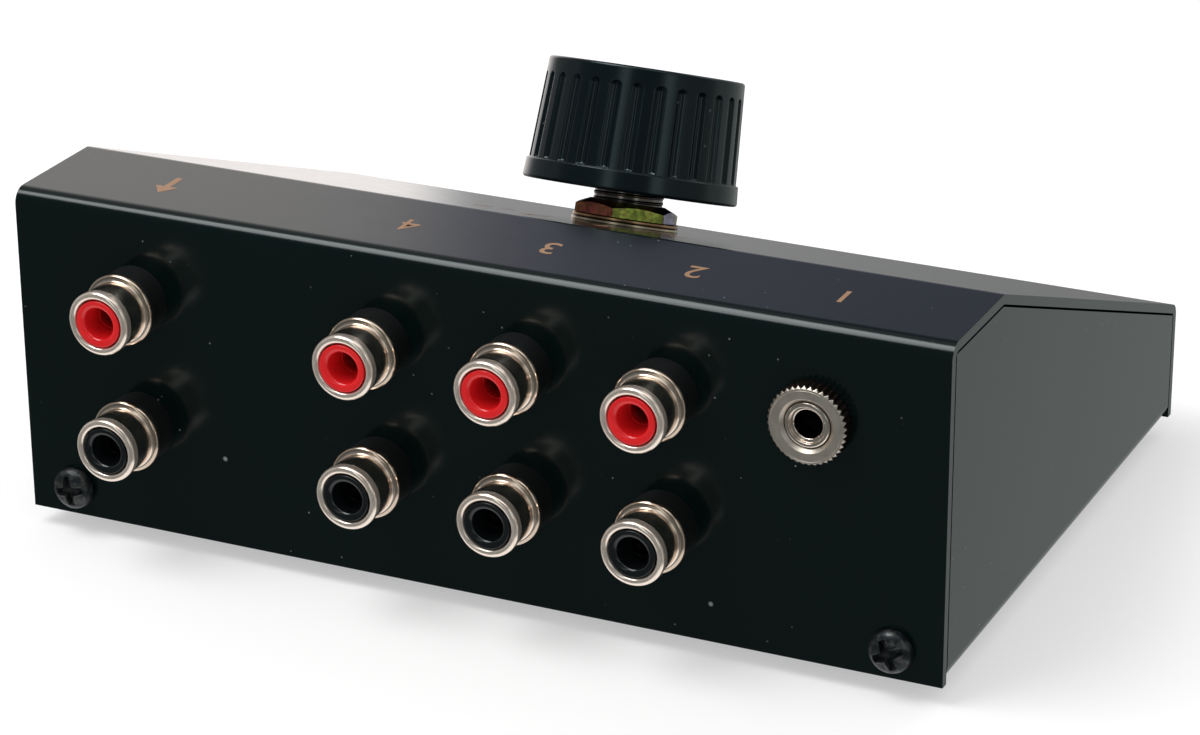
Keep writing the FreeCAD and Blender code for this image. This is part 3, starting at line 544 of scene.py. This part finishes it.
# %% A piece in the scene
def add(name, data, slot, body, replaces=None, finish=None):
    """Put a mesh in the scene: its finish, the body that it rides on, and what it stands for."""
    piece = bpy.data.objects.new(name, data)
    bpy.context.scene.collection.objects.link(piece)
    data.materials.append(finish or finishes[slot])
    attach(piece, body)
    if replaces:
        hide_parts(replaces)
    return piece


print("pieces can be added")


# %% Faces between rows
def faces_through(count, around, loop):
    """Corner numbers of the faces between neighbouring rows, as arrays. A loop also joins the last
    row to the first; otherwise the first and last rows each shrink to one point on the axis."""
    index = np.arange(count * around).reshape(count, around)
    beside = np.roll(index, -1, axis=1)
    if loop:
        ahead, across = np.roll(index, -1, axis=0), np.roll(beside, -1, axis=0)
        return [np.stack([index, beside, across, ahead], -1).reshape(-1, 4)]
    side = np.stack([index[1:-2], beside[1:-2], beside[2:-1], index[2:-1]], -1).reshape(-1, 4)
    first, last = index[0] * 0 + index[0, 0], index[-1] * 0 + index[-1, 0]
    return [side, np.stack([first, beside[1], index[1]], -1),
            np.stack([index[-2], beside[-2], last], -1)]


print("a loop of 3 rows of 8 points has", len(faces_through(3, 8, True)[0]), "faces")


# %% A closed surface
def skin(name, rows, where, slot, body, replaces=None, loop=True, tone=0.0, finish=None):
    """A closed surface through rows of points in mm. The tone is one number for each point of a
    row. World place = turn and shift of the local point."""
    count, around = rows.shape[:2]
    faces = faces_through(count, around, loop)
    points = rows.reshape(-1, 3)
    a, b, c = (points[faces[0][:, i]] for i in range(3))
    if np.sum(a * np.cross(b, c)) < 0:
        faces = [face[:, ::-1] for face in faces]
    used = np.unique(np.concatenate([face.ravel() for face in faces]))
    number = np.zeros(len(points), int)
    number[used] = np.arange(len(used))
    matrix = np.array(where)
    world = points[used] * MM @ matrix[:3, :3].T + matrix[:3, 3]
    data = bpy.data.meshes.new(name)
    data.from_pydata(world.tolist(), [],
                     [face for part in faces for face in number[part].tolist()])
    data.polygons.foreach_set("use_smooth", np.ones(len(data.polygons), bool))
    tones = np.broadcast_to(tone, (count, around)).ravel()[used]
    radius = np.hypot(points[used, 0], points[used, 1])
    section = np.stack([radius, points[used, 2], tones], 1)
    attribute = data.attributes.new("section", "FLOAT_VECTOR", "POINT")
    attribute.data.foreach_set("vector", section.ravel())
    return add(name, data, slot, body, replaces, finish)


print("surfaces can be made")

# %% [markdown]
# ## Phono sockets
#
# A phono socket's barrel is pressed and plated, with its mouth rolled back on itself. The rolled
# rim is a small ring of almost circular section, so a bright line runs all the way round it. A
# plain bevel would give a flat band there, and so the rim has large roundings of its own. The stop
# ring behind it sits against the collar. The coloured core is moulded with a funnel that leads the
# plug's pin into the hole. Heights are millimetres out of the panel, and negative behind it.

# %% Phono sockets
mouth, shell_end, core_end = 9.3, -4.8, -6.2
rim, barrel, stop_ring, neck, shell_bore = 4.15, 4.0, 4.73, 3.0, 2.55
shell_section = rounded([
    (3.18, mouth, 0.44), (rim, mouth, 0.5), (rim, 8.0, 0.4), (barrel, 7.9, 0.04),
    (barrel, 4.5, 0.16), (stop_ring, 4.5, 0.5), (stop_ring, 3.4, 0.44), (neck, 3.4, 0.04),
    (neck, shell_end, 0.1), (shell_bore, shell_end, 0.1), (shell_bore, 3.95, 0.04),
    (3.18, 3.95, 0.04)])
core_section = rounded([
    (3.04, 4.0, 0.04), (3.04, 9.24, 0.16), (2.06, 9.2, 0.6), (1.66, 6.6, 0.3), (1.52, 2.6, 0.02),
    (1.56, 2.6, 0), (1.56, 6.1, 0.01), (2.1, 6.1, 0.04), (2.1, core_end, 0.1),
    (2.5, core_end, 0.1), (2.5, 4.0, 0.04)])
shell_rows = swept(shell_section, 96)
core_rows = swept(core_section, 80)

shells = [node for node in nodes if node.endswith("_shell")]
for node in shells:
    stem = node[:-len("_shell")]
    colour = stem.split("_")[-1]
    where = socket_place(node)
    skin(stem + "_barrel", shell_rows, where, "socket_nickel", "enclosure", node)
    skin(stem + "_insulator", core_rows, where, "core_" + colour, "enclosure", stem + "_core")
print("sockets:", len(shells), "with", shell_rows.shape[0] * shell_rows.shape[1],
      "points in each barrel")

# %% [markdown]
# ## Cross-recess screws
#
# The case screws are cold headed: a low dome, with a cross pressed into it while the wire is still
# soft, so the recess has leaning walls and faintly raised lips. Cutting a cross out with a Boolean
# would leave sharp upright walls. Here the head is a surface of revolution whose height falls
# inside the cross, most in the middle, as a press would leave it.

# %% Rear case screws
head_radius = 2.8
recess_reach = 1.98
lip_height = 0.06
screw_points = 240


def screw_head(around, angle):
    """A domed head with a pressed cross, and its shank, closed on the axis at both ends. The dome
    is 0.5 + 1.5 sqrt(1 - (r / R)^2.6). With the distances along and across the nearer arm, the
    press p is 1 inside the cross and falls to 0 through its walls, and the depth is
    (1.45 - 0.35 along) times p^2 (3 - 2p)."""
    radius = np.concatenate([np.linspace(0, 2.05, 48), np.linspace(2.12, head_radius, 10)])
    share = radius / head_radius
    dome = 0.5 + 1.5 * np.sqrt(1 - np.clip(share, 0, 1) ** 2.6)
    shank = np.array([(head_radius, 0.25), (2.62, 0.0), (1.5, 0.0), (1.45, -5.4), (1.0, -6.0),
                      (0, -6.0)])
    rows = swept(np.vstack([np.stack([radius, dome], 1), shank]), around)
    from_arm = round_angles(around) - math.radians(angle)
    x = np.abs(radius[:, None] * np.cos(from_arm))
    y = np.abs(radius[:, None] * np.sin(from_arm))
    along, across = np.maximum(x, y), np.minimum(x, y)
    half_arm = 0.66 - 0.12 * along
    arms = np.clip((half_arm - across) / 0.1, 0, 1) * np.clip((recess_reach - along) / 0.16, 0, 1)
    heart = np.clip((0.95 - np.hypot(x, y)) / 0.2, 0, 1)
    press = np.maximum(arms, heart)
    depth = (1.45 - 0.35 * along) * press * press * (3 - 2 * press)
    beside_arm = np.clip(1 - np.abs(across - half_arm - 0.06) / 0.1, 0, 1) * (along < 2.0)
    rows[:len(radius), :, 2] += lip_height * beside_arm * (press == 0) - depth
    return rows


low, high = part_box("rear_case_screws")
screw_z = (low.z + high.z) / 2
for side, x, angle in (("left", high.x - head_radius * MM, 100),
                       ("right", low.x + head_radius * MM, 115)):
    skin(f"rear_screw_{side}", screw_head(screw_points, angle), on_panel(x, screw_z),
         "screw_black", "enclosure", "rear_case_screws", loop=False)
print("screw heads", 2 * head_radius, "mm across are in")

# %% [markdown]
# ## Ring nut and nose of the small jack
#
# The ring nut is turned from bar and knurled. With $n$ teeth, the knurl's radius is
# $R - d\,|2\,\mathrm{frac}(n a / 2\pi) - 1|$, and the nut is whichever is smaller, that or the
# turned section. Where the chamfer cuts the teeth they end in the little bright triangles that a
# knurled edge shows, which forty Boolean cuts would give far more slowly. The face keeps the fine
# rings of the lathe, and one deeper groove.

# %% Ring nut and nose
teeth = 40
nut_radius = 5.0
tooth_depth = 0.36
nut_face = 2.3


def finer(section, step):
    """The section with points added, so that no side is longer than a step."""
    ahead = np.roll(section, -1, axis=0)
    found = []
    for point, after in zip(section, ahead):
        parts = max(1, int(math.ceil(np.linalg.norm(after - point) / step)))
        found.append(point + (after - point) * np.arange(parts)[:, None] / parts)
    return np.vstack(found)


def no_wider(rows, section, limit):
    """The rows of a swept section, with no radius beyond the limit: r becomes min(r, limit)."""
    own = section[:, :1]
    rows[:, :, :2] *= (np.minimum(own, limit) / own)[:, :, None]
    return rows


def knurled(section, around):
    """The section swept round, never outside the knurl: with a in turns, r is at most
    R - d |2 frac(n a) - 1|."""
    share_of_turn = np.arange(around) / around
    knurl = nut_radius - tooth_depth * np.abs(2 * (share_of_turn * teeth % 1) - 1)
    return no_wider(swept(section, around), section, knurl)


nut_section = rounded([
    (2.95, 0.0, 0.05), (4.6, 0.0, 0.05), (nut_radius, 0.4, 0.05), (nut_radius, 1.98, 0.04),
    (4.66, nut_face, 0.04), (4.5, nut_face, 0.02), (4.44, 2.25, 0.02), (4.38, nut_face, 0.02),
    (3.42, nut_face, 0.06), (2.95, 1.83, 0.05)])
nose_section = rounded([
    (1.8, 1.6, 0.18), (2.26, 1.6, 0.05), (2.26, 2.05, 0.1), (2.86, 2.05, 0.26),
    (2.86, -1.25, 0.05), (4.0, -1.25, 0.1), (4.0, -2.25, 0.1), (2.3, -2.25, 0.05),
    (2.3, 0.15, 0.05), (1.8, 0.15, 0.05)])
jack_place = socket_place("mini_socket_nut")
skin("jack_ring_nut", knurled(finer(nut_section, 0.12), 12 * teeth), jack_place,
     "turned_nickel", "enclosure", "mini_socket_nut")
skin("jack_nose", swept(nose_section, 96), jack_place, "socket_nickel", "enclosure",
     "mini_socket_bushing")
print("ring nut with", teeth, "teeth")

# %% [markdown]
# ## Nut of the switch
#
# The nut is cut from hexagon bar, so its outside is whichever is smaller at each angle: the bar,
# whose radius is $h / \cos(a - a_0)$ measured from the middle of a face, or the cone that the
# lathe turned on its end. Where the two meet, the curved chamfer lines of a real nut appear by
# themselves. The chromate film is thicker on one face than on the next, and so each face gets its
# own tone.

# %% Switch nut
nut_flat = 6.0
nut_corner = math.radians(38)
nut_points = 360
face_tones = np.array([-0.14, 0.0, 0.15, 0.05, -0.08, 0.1])


def hexagonal(section, around):
    """The section swept round, never outside the hexagon bar: r is at most h / cos(a), with a
    measured from the middle of a face."""
    from_face = (round_angles(around) - nut_corner) % (math.pi / 3) - math.pi / 6
    return no_wider(swept(section, around), section, nut_flat / np.cos(from_face))


bar_section = finer(rounded([
    (4.56, 1.0, 0.1), (6.95, 1.0, 0.05), (6.95, 2.1, 0.05), (4.9, 3.0, 0.08),
    (4.56, 2.95, 0.05)]), 0.2)
nut_angle = np.arange(nut_points) / nut_points * FULL_TURN
face_number = ((nut_angle - nut_corner) // (math.pi / 3)) % 6
nut_rows = hexagonal(bar_section, nut_points)
skin("switch_hex_nut", nut_rows, switch_place, "yellow_chromate", "enclosure", "switch_nut",
     tone=face_tones[face_number.astype(int)])
print("switch nut with", nut_rows.shape[0] * nut_rows.shape[1], "points")

# %% [markdown]
# ## Washers and bushing of the switch
#
# Under the nut lie a flat washer and a lock washer, each half a millimetre thick. Their shape in
# the frame is right, and from here only their edges show: two pale bright lines, with dark lines
# of painted shade where they meet the paint, each other and the nut. The height above the paint is
# the product of the point and the switch's axis, and the film's colour follows it. The bushing is
# given a dark steel colour, painted shade for the dark knob and case that it mirrors.

# %% Washers and bushing
def washer_chromate(foot, axis):
    """Chromate on two washers, with painted shade where they meet the paint, each other and the nut."""
    film = Finish("washer_chromate", {"Metallic": 1.0})
    along = film.node("ShaderNodeVectorMath", {"operation": "DOT_PRODUCT"},
                      {0: film.here(), 1: tuple(axis)}, "Value")
    height = (along - foot.dot(axis)) * (1 / MM)
    smear = film.noise(0.8, 4.0)
    upper_washer = height.above(0.5, 0.02)
    unshaded = film.mix(upper_washer, dye(226, 206, 184), dye(206, 158, 124))
    between = height.above(0.36, 0.06) * height.below(0.62, 0.06)
    # Painted shade: dark lines where the washers meet the paint, each other and the nut.
    gap_shade = between + height.above(0.86, 0.06) + height.below(0.1, 0.05)
    dulled = film.mix(0.5 * smear, unshaded, dye(150, 140, 84))
    film.set("Base Color", film.mix(0.9 * gap_shade, dulled, dye(40, 32, 24)))
    film.set("Roughness", 0.2 + 0.2 * smear)
    return film.material


# Painted shade: the bushing and its thread get a dark steel colour, for the dark knob and case that they mirror.
shaded_steel = metal("shaded_steel", dye(96, 92, 90), dye(140, 134, 128), 0.14, 0.14, 0.9, 4.0)
washer_film = washer_chromate(switch_place.translation, switch_place.col[2].to_3d())
for node, finish in (("switch_lock_washer", washer_film), ("switch_flat_washer", washer_film),
                     ("switch_bushing", shaded_steel)):
    nodes[node].data.materials[0] = finish
print("washers and bushing have their own finish")

# %% [markdown]
# ## Thread of the switch
#
# Above the nut a few turns of the bushing's fine thread show, and each turn gives a row of glints.
# A thread is a ridge that climbs one pitch $p$ in each turn: its radius is
# $R + h\,w(u / p - a / 2\pi)$, where $w$ is a wave between 0 and 1. A bump could fake the glints,
# but not the notched outline. Screwing a profile up would do, except that its ends need closing,
# while a sleeve whose ridge fades out at both ends is closed as it is.

# %% Thread
thread_root, thread_ridge, thread_pitch = 4.42, 0.2, 0.75
thread_low, thread_high = 2.9, 5.7
sleeve_wall = 0.08


def thread_rows(around, levels_a_turn):
    """A thin sleeve whose outside carries the thread: r = root + ridge * wave * fade, where the
    wave climbs a pitch in a turn and the fade is 0 at both ends."""
    span = thread_high - thread_low
    level = np.linspace(thread_low, thread_high, int(span / thread_pitch * levels_a_turn))[:, None]
    angle = round_angles(around)
    wave = np.abs(2 * ((level / thread_pitch - angle / FULL_TURN) % 1) - 1)
    from_end = np.minimum(level - thread_low, thread_high - level)
    fade = np.clip(from_end / (0.3 * thread_pitch), 0, 1)
    out = thread_root + thread_ridge * wave * fade
    outside = np.stack([out * np.cos(angle), out * np.sin(angle), level + 0 * angle], -1)
    bore = thread_root - sleeve_wall
    inside = swept(np.array([(bore, thread_high), (bore, thread_low)]), around)
    return np.concatenate([outside, inside])


skin("bushing_thread", thread_rows(128, 14), switch_place, "zinc_steel", "enclosure",
     finish=shaded_steel)
print("thread climbs", thread_pitch, "mm a turn")

# %% [markdown]
# ## The fluted knob
#
# The knob is one moulding: a skirt, a grip that narrows towards the top, 28 flutes, and a dished
# face. On the grip, let $s$ be the distance across a flute and $t$ how far a point lies above the
# centre of the flute's round end. The flute is cut where $d = \sqrt{s^2 + \max(t, 0)^2}$ is less
# than its half width $w$, to a depth $h\,(1 - (d/w)^2)$. So each flute is a shallow trough that
# ends in a half round, as the cutter leaves it in the mould. Twenty-eight Boolean cuts would leave
# slivers at the skirt, and this leaves none. The hole for the set screw is the same kind of dent.

# %% Knob sizes
knob_lift = 4.45
knob_height, knob_base, knob_top = 16.0, 14.1, 12.8
skirt = 2.65
dish_depth, dish_radius, land_radius = 0.43, 11.05, 11.4
roof = knob_height - 2.4
hub_radius, hub_bore, hub_foot = 6.0, 4.65, 2.1
flutes = 28
flute_half, flute_depth = 0.72, 0.44
flute_end = knob_height - 2.75
screw_angle, screw_level, screw_hole = math.radians(315), 5.6, 1.62
insert_radius = 4.75


def taper(height):
    """The radius of the grip at a height, on a straight line from base to top."""
    return knob_base + (knob_top - knob_base) * height / knob_height


knob_section = rounded([
    (0, knob_height - dish_depth, 0), (dish_radius, knob_height - dish_depth, 0.15),
    (land_radius, knob_height, 0.2), (knob_top, knob_height, 0.4),
    (taper(skirt) - 0.3, skirt, 0.06), (taper(skirt), skirt, 0.2),
    (knob_base, 0, 0.4), (knob_base - 1.6, 0, 0.3), (knob_top - 2.2, roof, 0.8),
    (hub_radius, roof, 0.5), (hub_radius, hub_foot, 0.2),
    (hub_bore, hub_foot, 0.1), (hub_bore, roof, 0.1), (0, roof, 0)])[:-1]
print("knob section has", len(knob_section), "points")


# %% Knob
def knob_rows(around):
    """Every point of the knob's outside and inside, closed on the axis at both ends. Levels are
    close together at the flutes' ends and at the set screw, where the surface bends most."""
    starts, ends = knob_section[:-1], knob_section[1:]
    grip = np.flatnonzero((starts[:, 1] > knob_height - 0.9) & (ends[:, 1] < skirt + 0.9)
                          & (starts[:, 0] > knob_top - 0.9))[0]
    levels = np.concatenate([
        np.linspace(knob_height - 0.6, flute_end + 0.75, 6),
        np.linspace(flute_end + 0.7, flute_end, 14),
        np.linspace(flute_end - 0.4, screw_level + 1.9, 10),
        np.linspace(screw_level + 1.8, screw_level - 1.8, 33),
        np.linspace(screw_level - 1.9, skirt + 0.15, 4)])
    high, low = knob_section[grip], knob_section[grip + 1]
    share = (levels - high[1]) / (low[1] - high[1])
    between = np.stack([high[0] + (low[0] - high[0]) * share, levels], 1)
    rows = swept(np.vstack([knob_section[:grip + 1], between, knob_section[grip + 1:],
                            [(0, roof)]]), around)
    radius = between[:, :1]
    angle = round_angles(around)
    phase = (angle * flutes / FULL_TURN) % 1 - 0.5
    across = phase * FULL_TURN * radius / flutes
    above = np.maximum(levels[:, None] - flute_end, 0)
    depth = flute_depth * np.clip(1 - (np.hypot(across, above) / flute_half) ** 2, 0, 1)
    side = (angle - screw_angle + math.pi) % FULL_TURN - math.pi
    from_screw = np.hypot(side * radius, levels[:, None] - screw_level)
    hole = np.clip((screw_hole - from_screw) / 0.14, 0, 1) * (np.abs(side) < 1)
    depth = np.maximum(depth, hole * (radius - insert_radius))
    on_grip = slice(grip + 1, grip + 1 + len(levels))
    rows[on_grip, :, :2] *= (1 - depth / radius)[:, :, None]
    return rows


knob_place = switch_place @ Matrix.Translation((0, 0, knob_lift * MM))
knob = skin("fluted_knob", knob_rows(flutes * 20), knob_place, "knob_gloss", "selector",
            "knob_body", loop=False)
print("knob with", len(knob.data.polygons), "faces")

# %% [markdown]
# ## Printing
#
# The label strip names each column, and the slope has a mark for each position of the knob. The
# print reads the right way up for the user, who sits on the side away from the sockets, so from
# behind it is upside down. Plain numbers stand for the inputs, and an arrow that leaves the box
# stands for the output. Screen print is a film of ink, so each mark is a thin plate, half sunk in
# the paint. Ink as a pattern in the paint would need a picture of the digits.

# %% Ways to print
print_ink = moulding("print_ink", dye(150, 112, 82), dye(166, 128, 98), 0.5,
                     grain=4.0, relief=0.05)
ink_half = 0.02
stroke_gain = 0.006


def printed(name, data, where):
    """A printed mark, moved to its place."""
    data.transform(where)
    return add(name, data, "pointer_paint", "enclosure", finish=print_ink)


def digit(name, text, size, where):
    """A printed number, centred on its place."""
    curve = bpy.data.curves.new(name, "FONT")
    curve.body = text
    curve.size = size * MM
    curve.align_x = "CENTER"
    curve.align_y = "CENTER"
    curve.extrude = ink_half * MM
    curve.offset = stroke_gain * size * MM
    holder = bpy.data.objects.new(name + "_outline", curve)
    bpy.context.scene.collection.objects.link(holder)
    seen = holder.evaluated_get(bpy.context.evaluated_depsgraph_get())
    data = bpy.data.meshes.new_from_object(seen)
    data.name = name
    bpy.data.objects.remove(holder)
    return printed(name, data, where)


def plate(name, corners, where):
    """A printed shape with straight sides: its corners, in mm, below and above the paint."""
    flat = np.array(corners, float)
    count = len(flat)
    low = np.column_stack([flat, np.full(count, -ink_half)])
    high = np.column_stack([flat, np.full(count, ink_half)])
    sides = [[i, (i + 1) % count, (i + 1) % count + count, i + count] for i in range(count)]
    faces = [list(range(count))[::-1], list(range(count, 2 * count))] + sides
    data = bpy.data.meshes.new(name)
    data.from_pydata((np.vstack([low, high]) * MM).tolist(), [], faces)
    return printed(name, data, where)


print("ink stands", ink_half, "mm proud of the paint")

# %% Marks
strip_digit, dial_digit = 5.2, 4.2
strip_y = panel_y - 9.3 * MM
tick_start, tick_end, tick_half = 15.4, 17.2, 0.25
dial_reach = 19.6 * MM
arrow = [(-0.45, -2.6), (0.45, -2.6), (0.45, 0.6), (1.6, 0.6), (0, 2.9), (-1.6, 0.6), (-0.45, 0.6)]
tick = [(-tick_half, tick_start), (tick_half, tick_start), (tick_half, tick_end),
        (-tick_half, tick_end)]


def on_strip(node):
    """The place on the label strip over a socket."""
    return Matrix.Translation((middle(node).x, strip_y, strip_z))


for number in (4, 3, 2):
    digit(f"strip_number_{number}", str(number), strip_digit,
          on_strip(f"input_{number}_red_shell"))
digit("strip_number_1", "1", strip_digit, on_strip("mini_socket_nut"))
plate("strip_arrow", arrow, on_strip("output_red_shell"))
for number, degrees in enumerate((135, 105, 75, 45), 1):
    angle = math.radians(degrees)
    plate(f"dial_tick_{number}", tick,
          switch_place @ Matrix.Rotation(math.radians(degrees - 90), 4, "Z"))
    digit(f"dial_number_{number}", str(number), dial_digit, switch_place @ Matrix.Translation(
        (dial_reach * math.cos(angle), dial_reach * math.sin(angle), 0)))
print("printed marks are in, ticks", round(tick_end - tick_start, 1), "mm long")

# %% [markdown]
# ## Floor
#
# The photograph is a cut-out on white. A pale floor, level with the feet, keeps a soft shadow
# under the box. The camera sees it glow a little, so that it joins the white behind it, while
# other surfaces are lit by it as by plain paper. Mirrors don't see it at all: the room below shows
# in them instead.

# %% Floor
floor_reach = 6.0


def floor():
    """A large pale disc: x = R cos a, y = R sin a."""
    data = bpy.data.meshes.new("floor")
    angle = round_angles(64)
    edge = np.stack([np.cos(angle), np.sin(angle), 0 * angle], 1) * floor_reach
    data.from_pydata(edge.tolist(), [], [list(range(len(angle)))])
    piece = bpy.data.objects.new("floor", data)
    bpy.context.scene.collection.objects.link(piece)
    paper = Finish("floor_paper", {"Roughness": 0.9, "Specular IOR Level": 0.1})
    eye = paper.node("ShaderNodeLightPath", out="Is Camera Ray")
    fleck = paper.mix(paper.noise(0.002), dye(246, 246, 246), dye(250, 250, 250))
    paper.set("Base Color", paper.mix(eye, fleck, (0.62, 0.62, 0.62, 1)))
    paper.set("Emission Color", paper.mix(eye, (0, 0, 0, 1), (0.45, 0.45, 0.45, 1)))
    paper.set("Emission Strength", 1.0)
    data.materials.append(paper.material)
    piece.visible_glossy = False


floor()
print("floor is", 2 * floor_reach, "m across")

# %% [markdown]
# ## The room that mirrors see
#
# Shiny pieces show their studio more than their own colour. Lamps alone would leave the gloss with
# a few hot spots, so the world gives mirrors a whole room, painted with soft-edged masks over the
# direction $(x, y, z)$. On the near side, where the photographer stood, it is dim, with two narrow
# windows: that is why the panel and the knob look black. It is dim too at the sides and in the far
# ceiling. Beyond the box stands a bright card on the left of the picture, and a dimmer, bluer wall
# on its right, so the label strip and the slope fade from grey to navy. A band overhead draws the
# light line along the bend of the panel. Plain surfaces get one even light, and the camera sees
# white.

# %% The room
plain_light = 0.6
near_dim, side_dim, ceiling_dim, wall_dim, far_dim, corner_dim = 0.88, 0.72, 0.6, 0.66, 0.3, 0.5
card_glow, window_glow, overhead_glow = 0.2, 1.1, 0.9


def room_colour(room, x, y, z):
    """Red, green and blue in each direction: each patch of the room is a product of masks, a dim
    patch multiplies by 1 - its share, and a lit one adds its glow."""
    off_floor = z.above(-0.60, 0.08)
    near = y.above(0.36, 0.12) * off_floor
    left_or_right = x.above(0.62, 0.1) + x.below(-0.62, 0.1)
    sides = left_or_right * y.above(-0.45, 0.15) * y.below(0.36, 0.12) * off_floor
    ceiling = z.above(0.58, 0.08) * y.below(0.0, 0.08)
    overhead = z.above(0.85, 0.06) * y.above(0.04, 0.06) * (1 - near)
    beyond = y.below(-0.5, 0.12)
    card = beyond * x.above(0.432, 0.01)
    wall = beyond * x.below(0.432, 0.01) * x.above(0.05, 0.1)
    corner = beyond * x.below(0.05, 0.1)
    low, far = z.below(0.1, 0.1), x.below(0.36, 0.08)
    panes = (x.above(-0.06, 0.03) * x.below(0.12, 0.03)
             + x.above(-0.83, 0.03) * x.below(-0.70, 0.03))
    window = near * z.above(0.1, 0.1) * panes
    strength = ((1 - near_dim * near) * (1 - side_dim * sides) * (1 - ceiling_dim * ceiling)
                * (1 - wall * (wall_dim - 0.08 * low)) * (1 - far_dim * wall * far)
                * (1 - corner_dim * corner) + card * (card_glow + card_glow * low)
                + window_glow * window + overhead_glow * overhead)
    red = strength * (1 - 0.1 * near - 0.08 * corner)
    green = strength * (1 - 0.05 * card)
    blue = strength * (1 - 0.07 * card + 0.3 * wall * (1 - low) - 0.03 * corner)
    return room.node("ShaderNodeCombineColor", None, {0: red, 1: green, 2: blue})


def sky():
    """White to the camera, plain light to surfaces, and the room to mirrors."""
    world = bpy.data.worlds.new("studio")
    bpy.context.scene.world = world
    world.use_nodes = True
    room = Network(world.node_tree)
    direction = room.node("ShaderNodeTexCoord", out="Generated")
    seen = room_colour(room, *room.split(direction))
    eye, mirror, through = (room.node("ShaderNodeLightPath", out=f"Is {kind} Ray")
                            for kind in ("Camera", "Glossy", "Transmission"))
    colour = room.mix(mirror, (plain_light, plain_light, plain_light, 1), seen)
    background = room.tree.nodes["Background"]
    room.feed(background.inputs["Color"], room.mix(eye + through, colour, (1, 1, 1, 1)))


sky()
print("the room has", len(bpy.context.scene.world.node_tree.nodes), "nodes")

# %% [markdown]
# ## Lamps
#
# The room lights everything evenly, which leaves no direction to the shadow. Two soft boxes give
# it one, as in a product studio: a key above the sockets, and a weaker one over the far side that
# lifts the slope and the knob's face. Both stay weak, so that a colour renders about as it is
# written.

# %% Lamps
lamp_aim = Vector((0, 0, 0.02))
lamp_width, lamp_height = 0.6, 0.5


def softbox(name, where, watts):
    """A flat lamp at a place, turned to face the box."""
    data = bpy.data.lights.new(name, "AREA")
    data.shape = "RECTANGLE"
    data.size = lamp_width
    data.size_y = lamp_height
    data.energy = watts
    lamp = bpy.data.objects.new(name, data)
    away = Vector(where) - lamp_aim
    facing = away.to_track_quat("Z", "Y").to_matrix().to_4x4()
    lamp.matrix_world = Matrix.Translation(Vector(where)) @ facing
    bpy.context.scene.collection.objects.link(lamp)


softbox("key", (0.35, 0.30, 0.9), 5)
softbox("back", (-0.3, -0.9, 0.8), 1.5)
print("lamps are in")

# %% [markdown]
# ## Picture settings
#
# The Standard view shows a colour as it is written, where the default one would soften it.

# %% Picture settings
bpy.context.scene.view_settings.view_transform = "Standard"
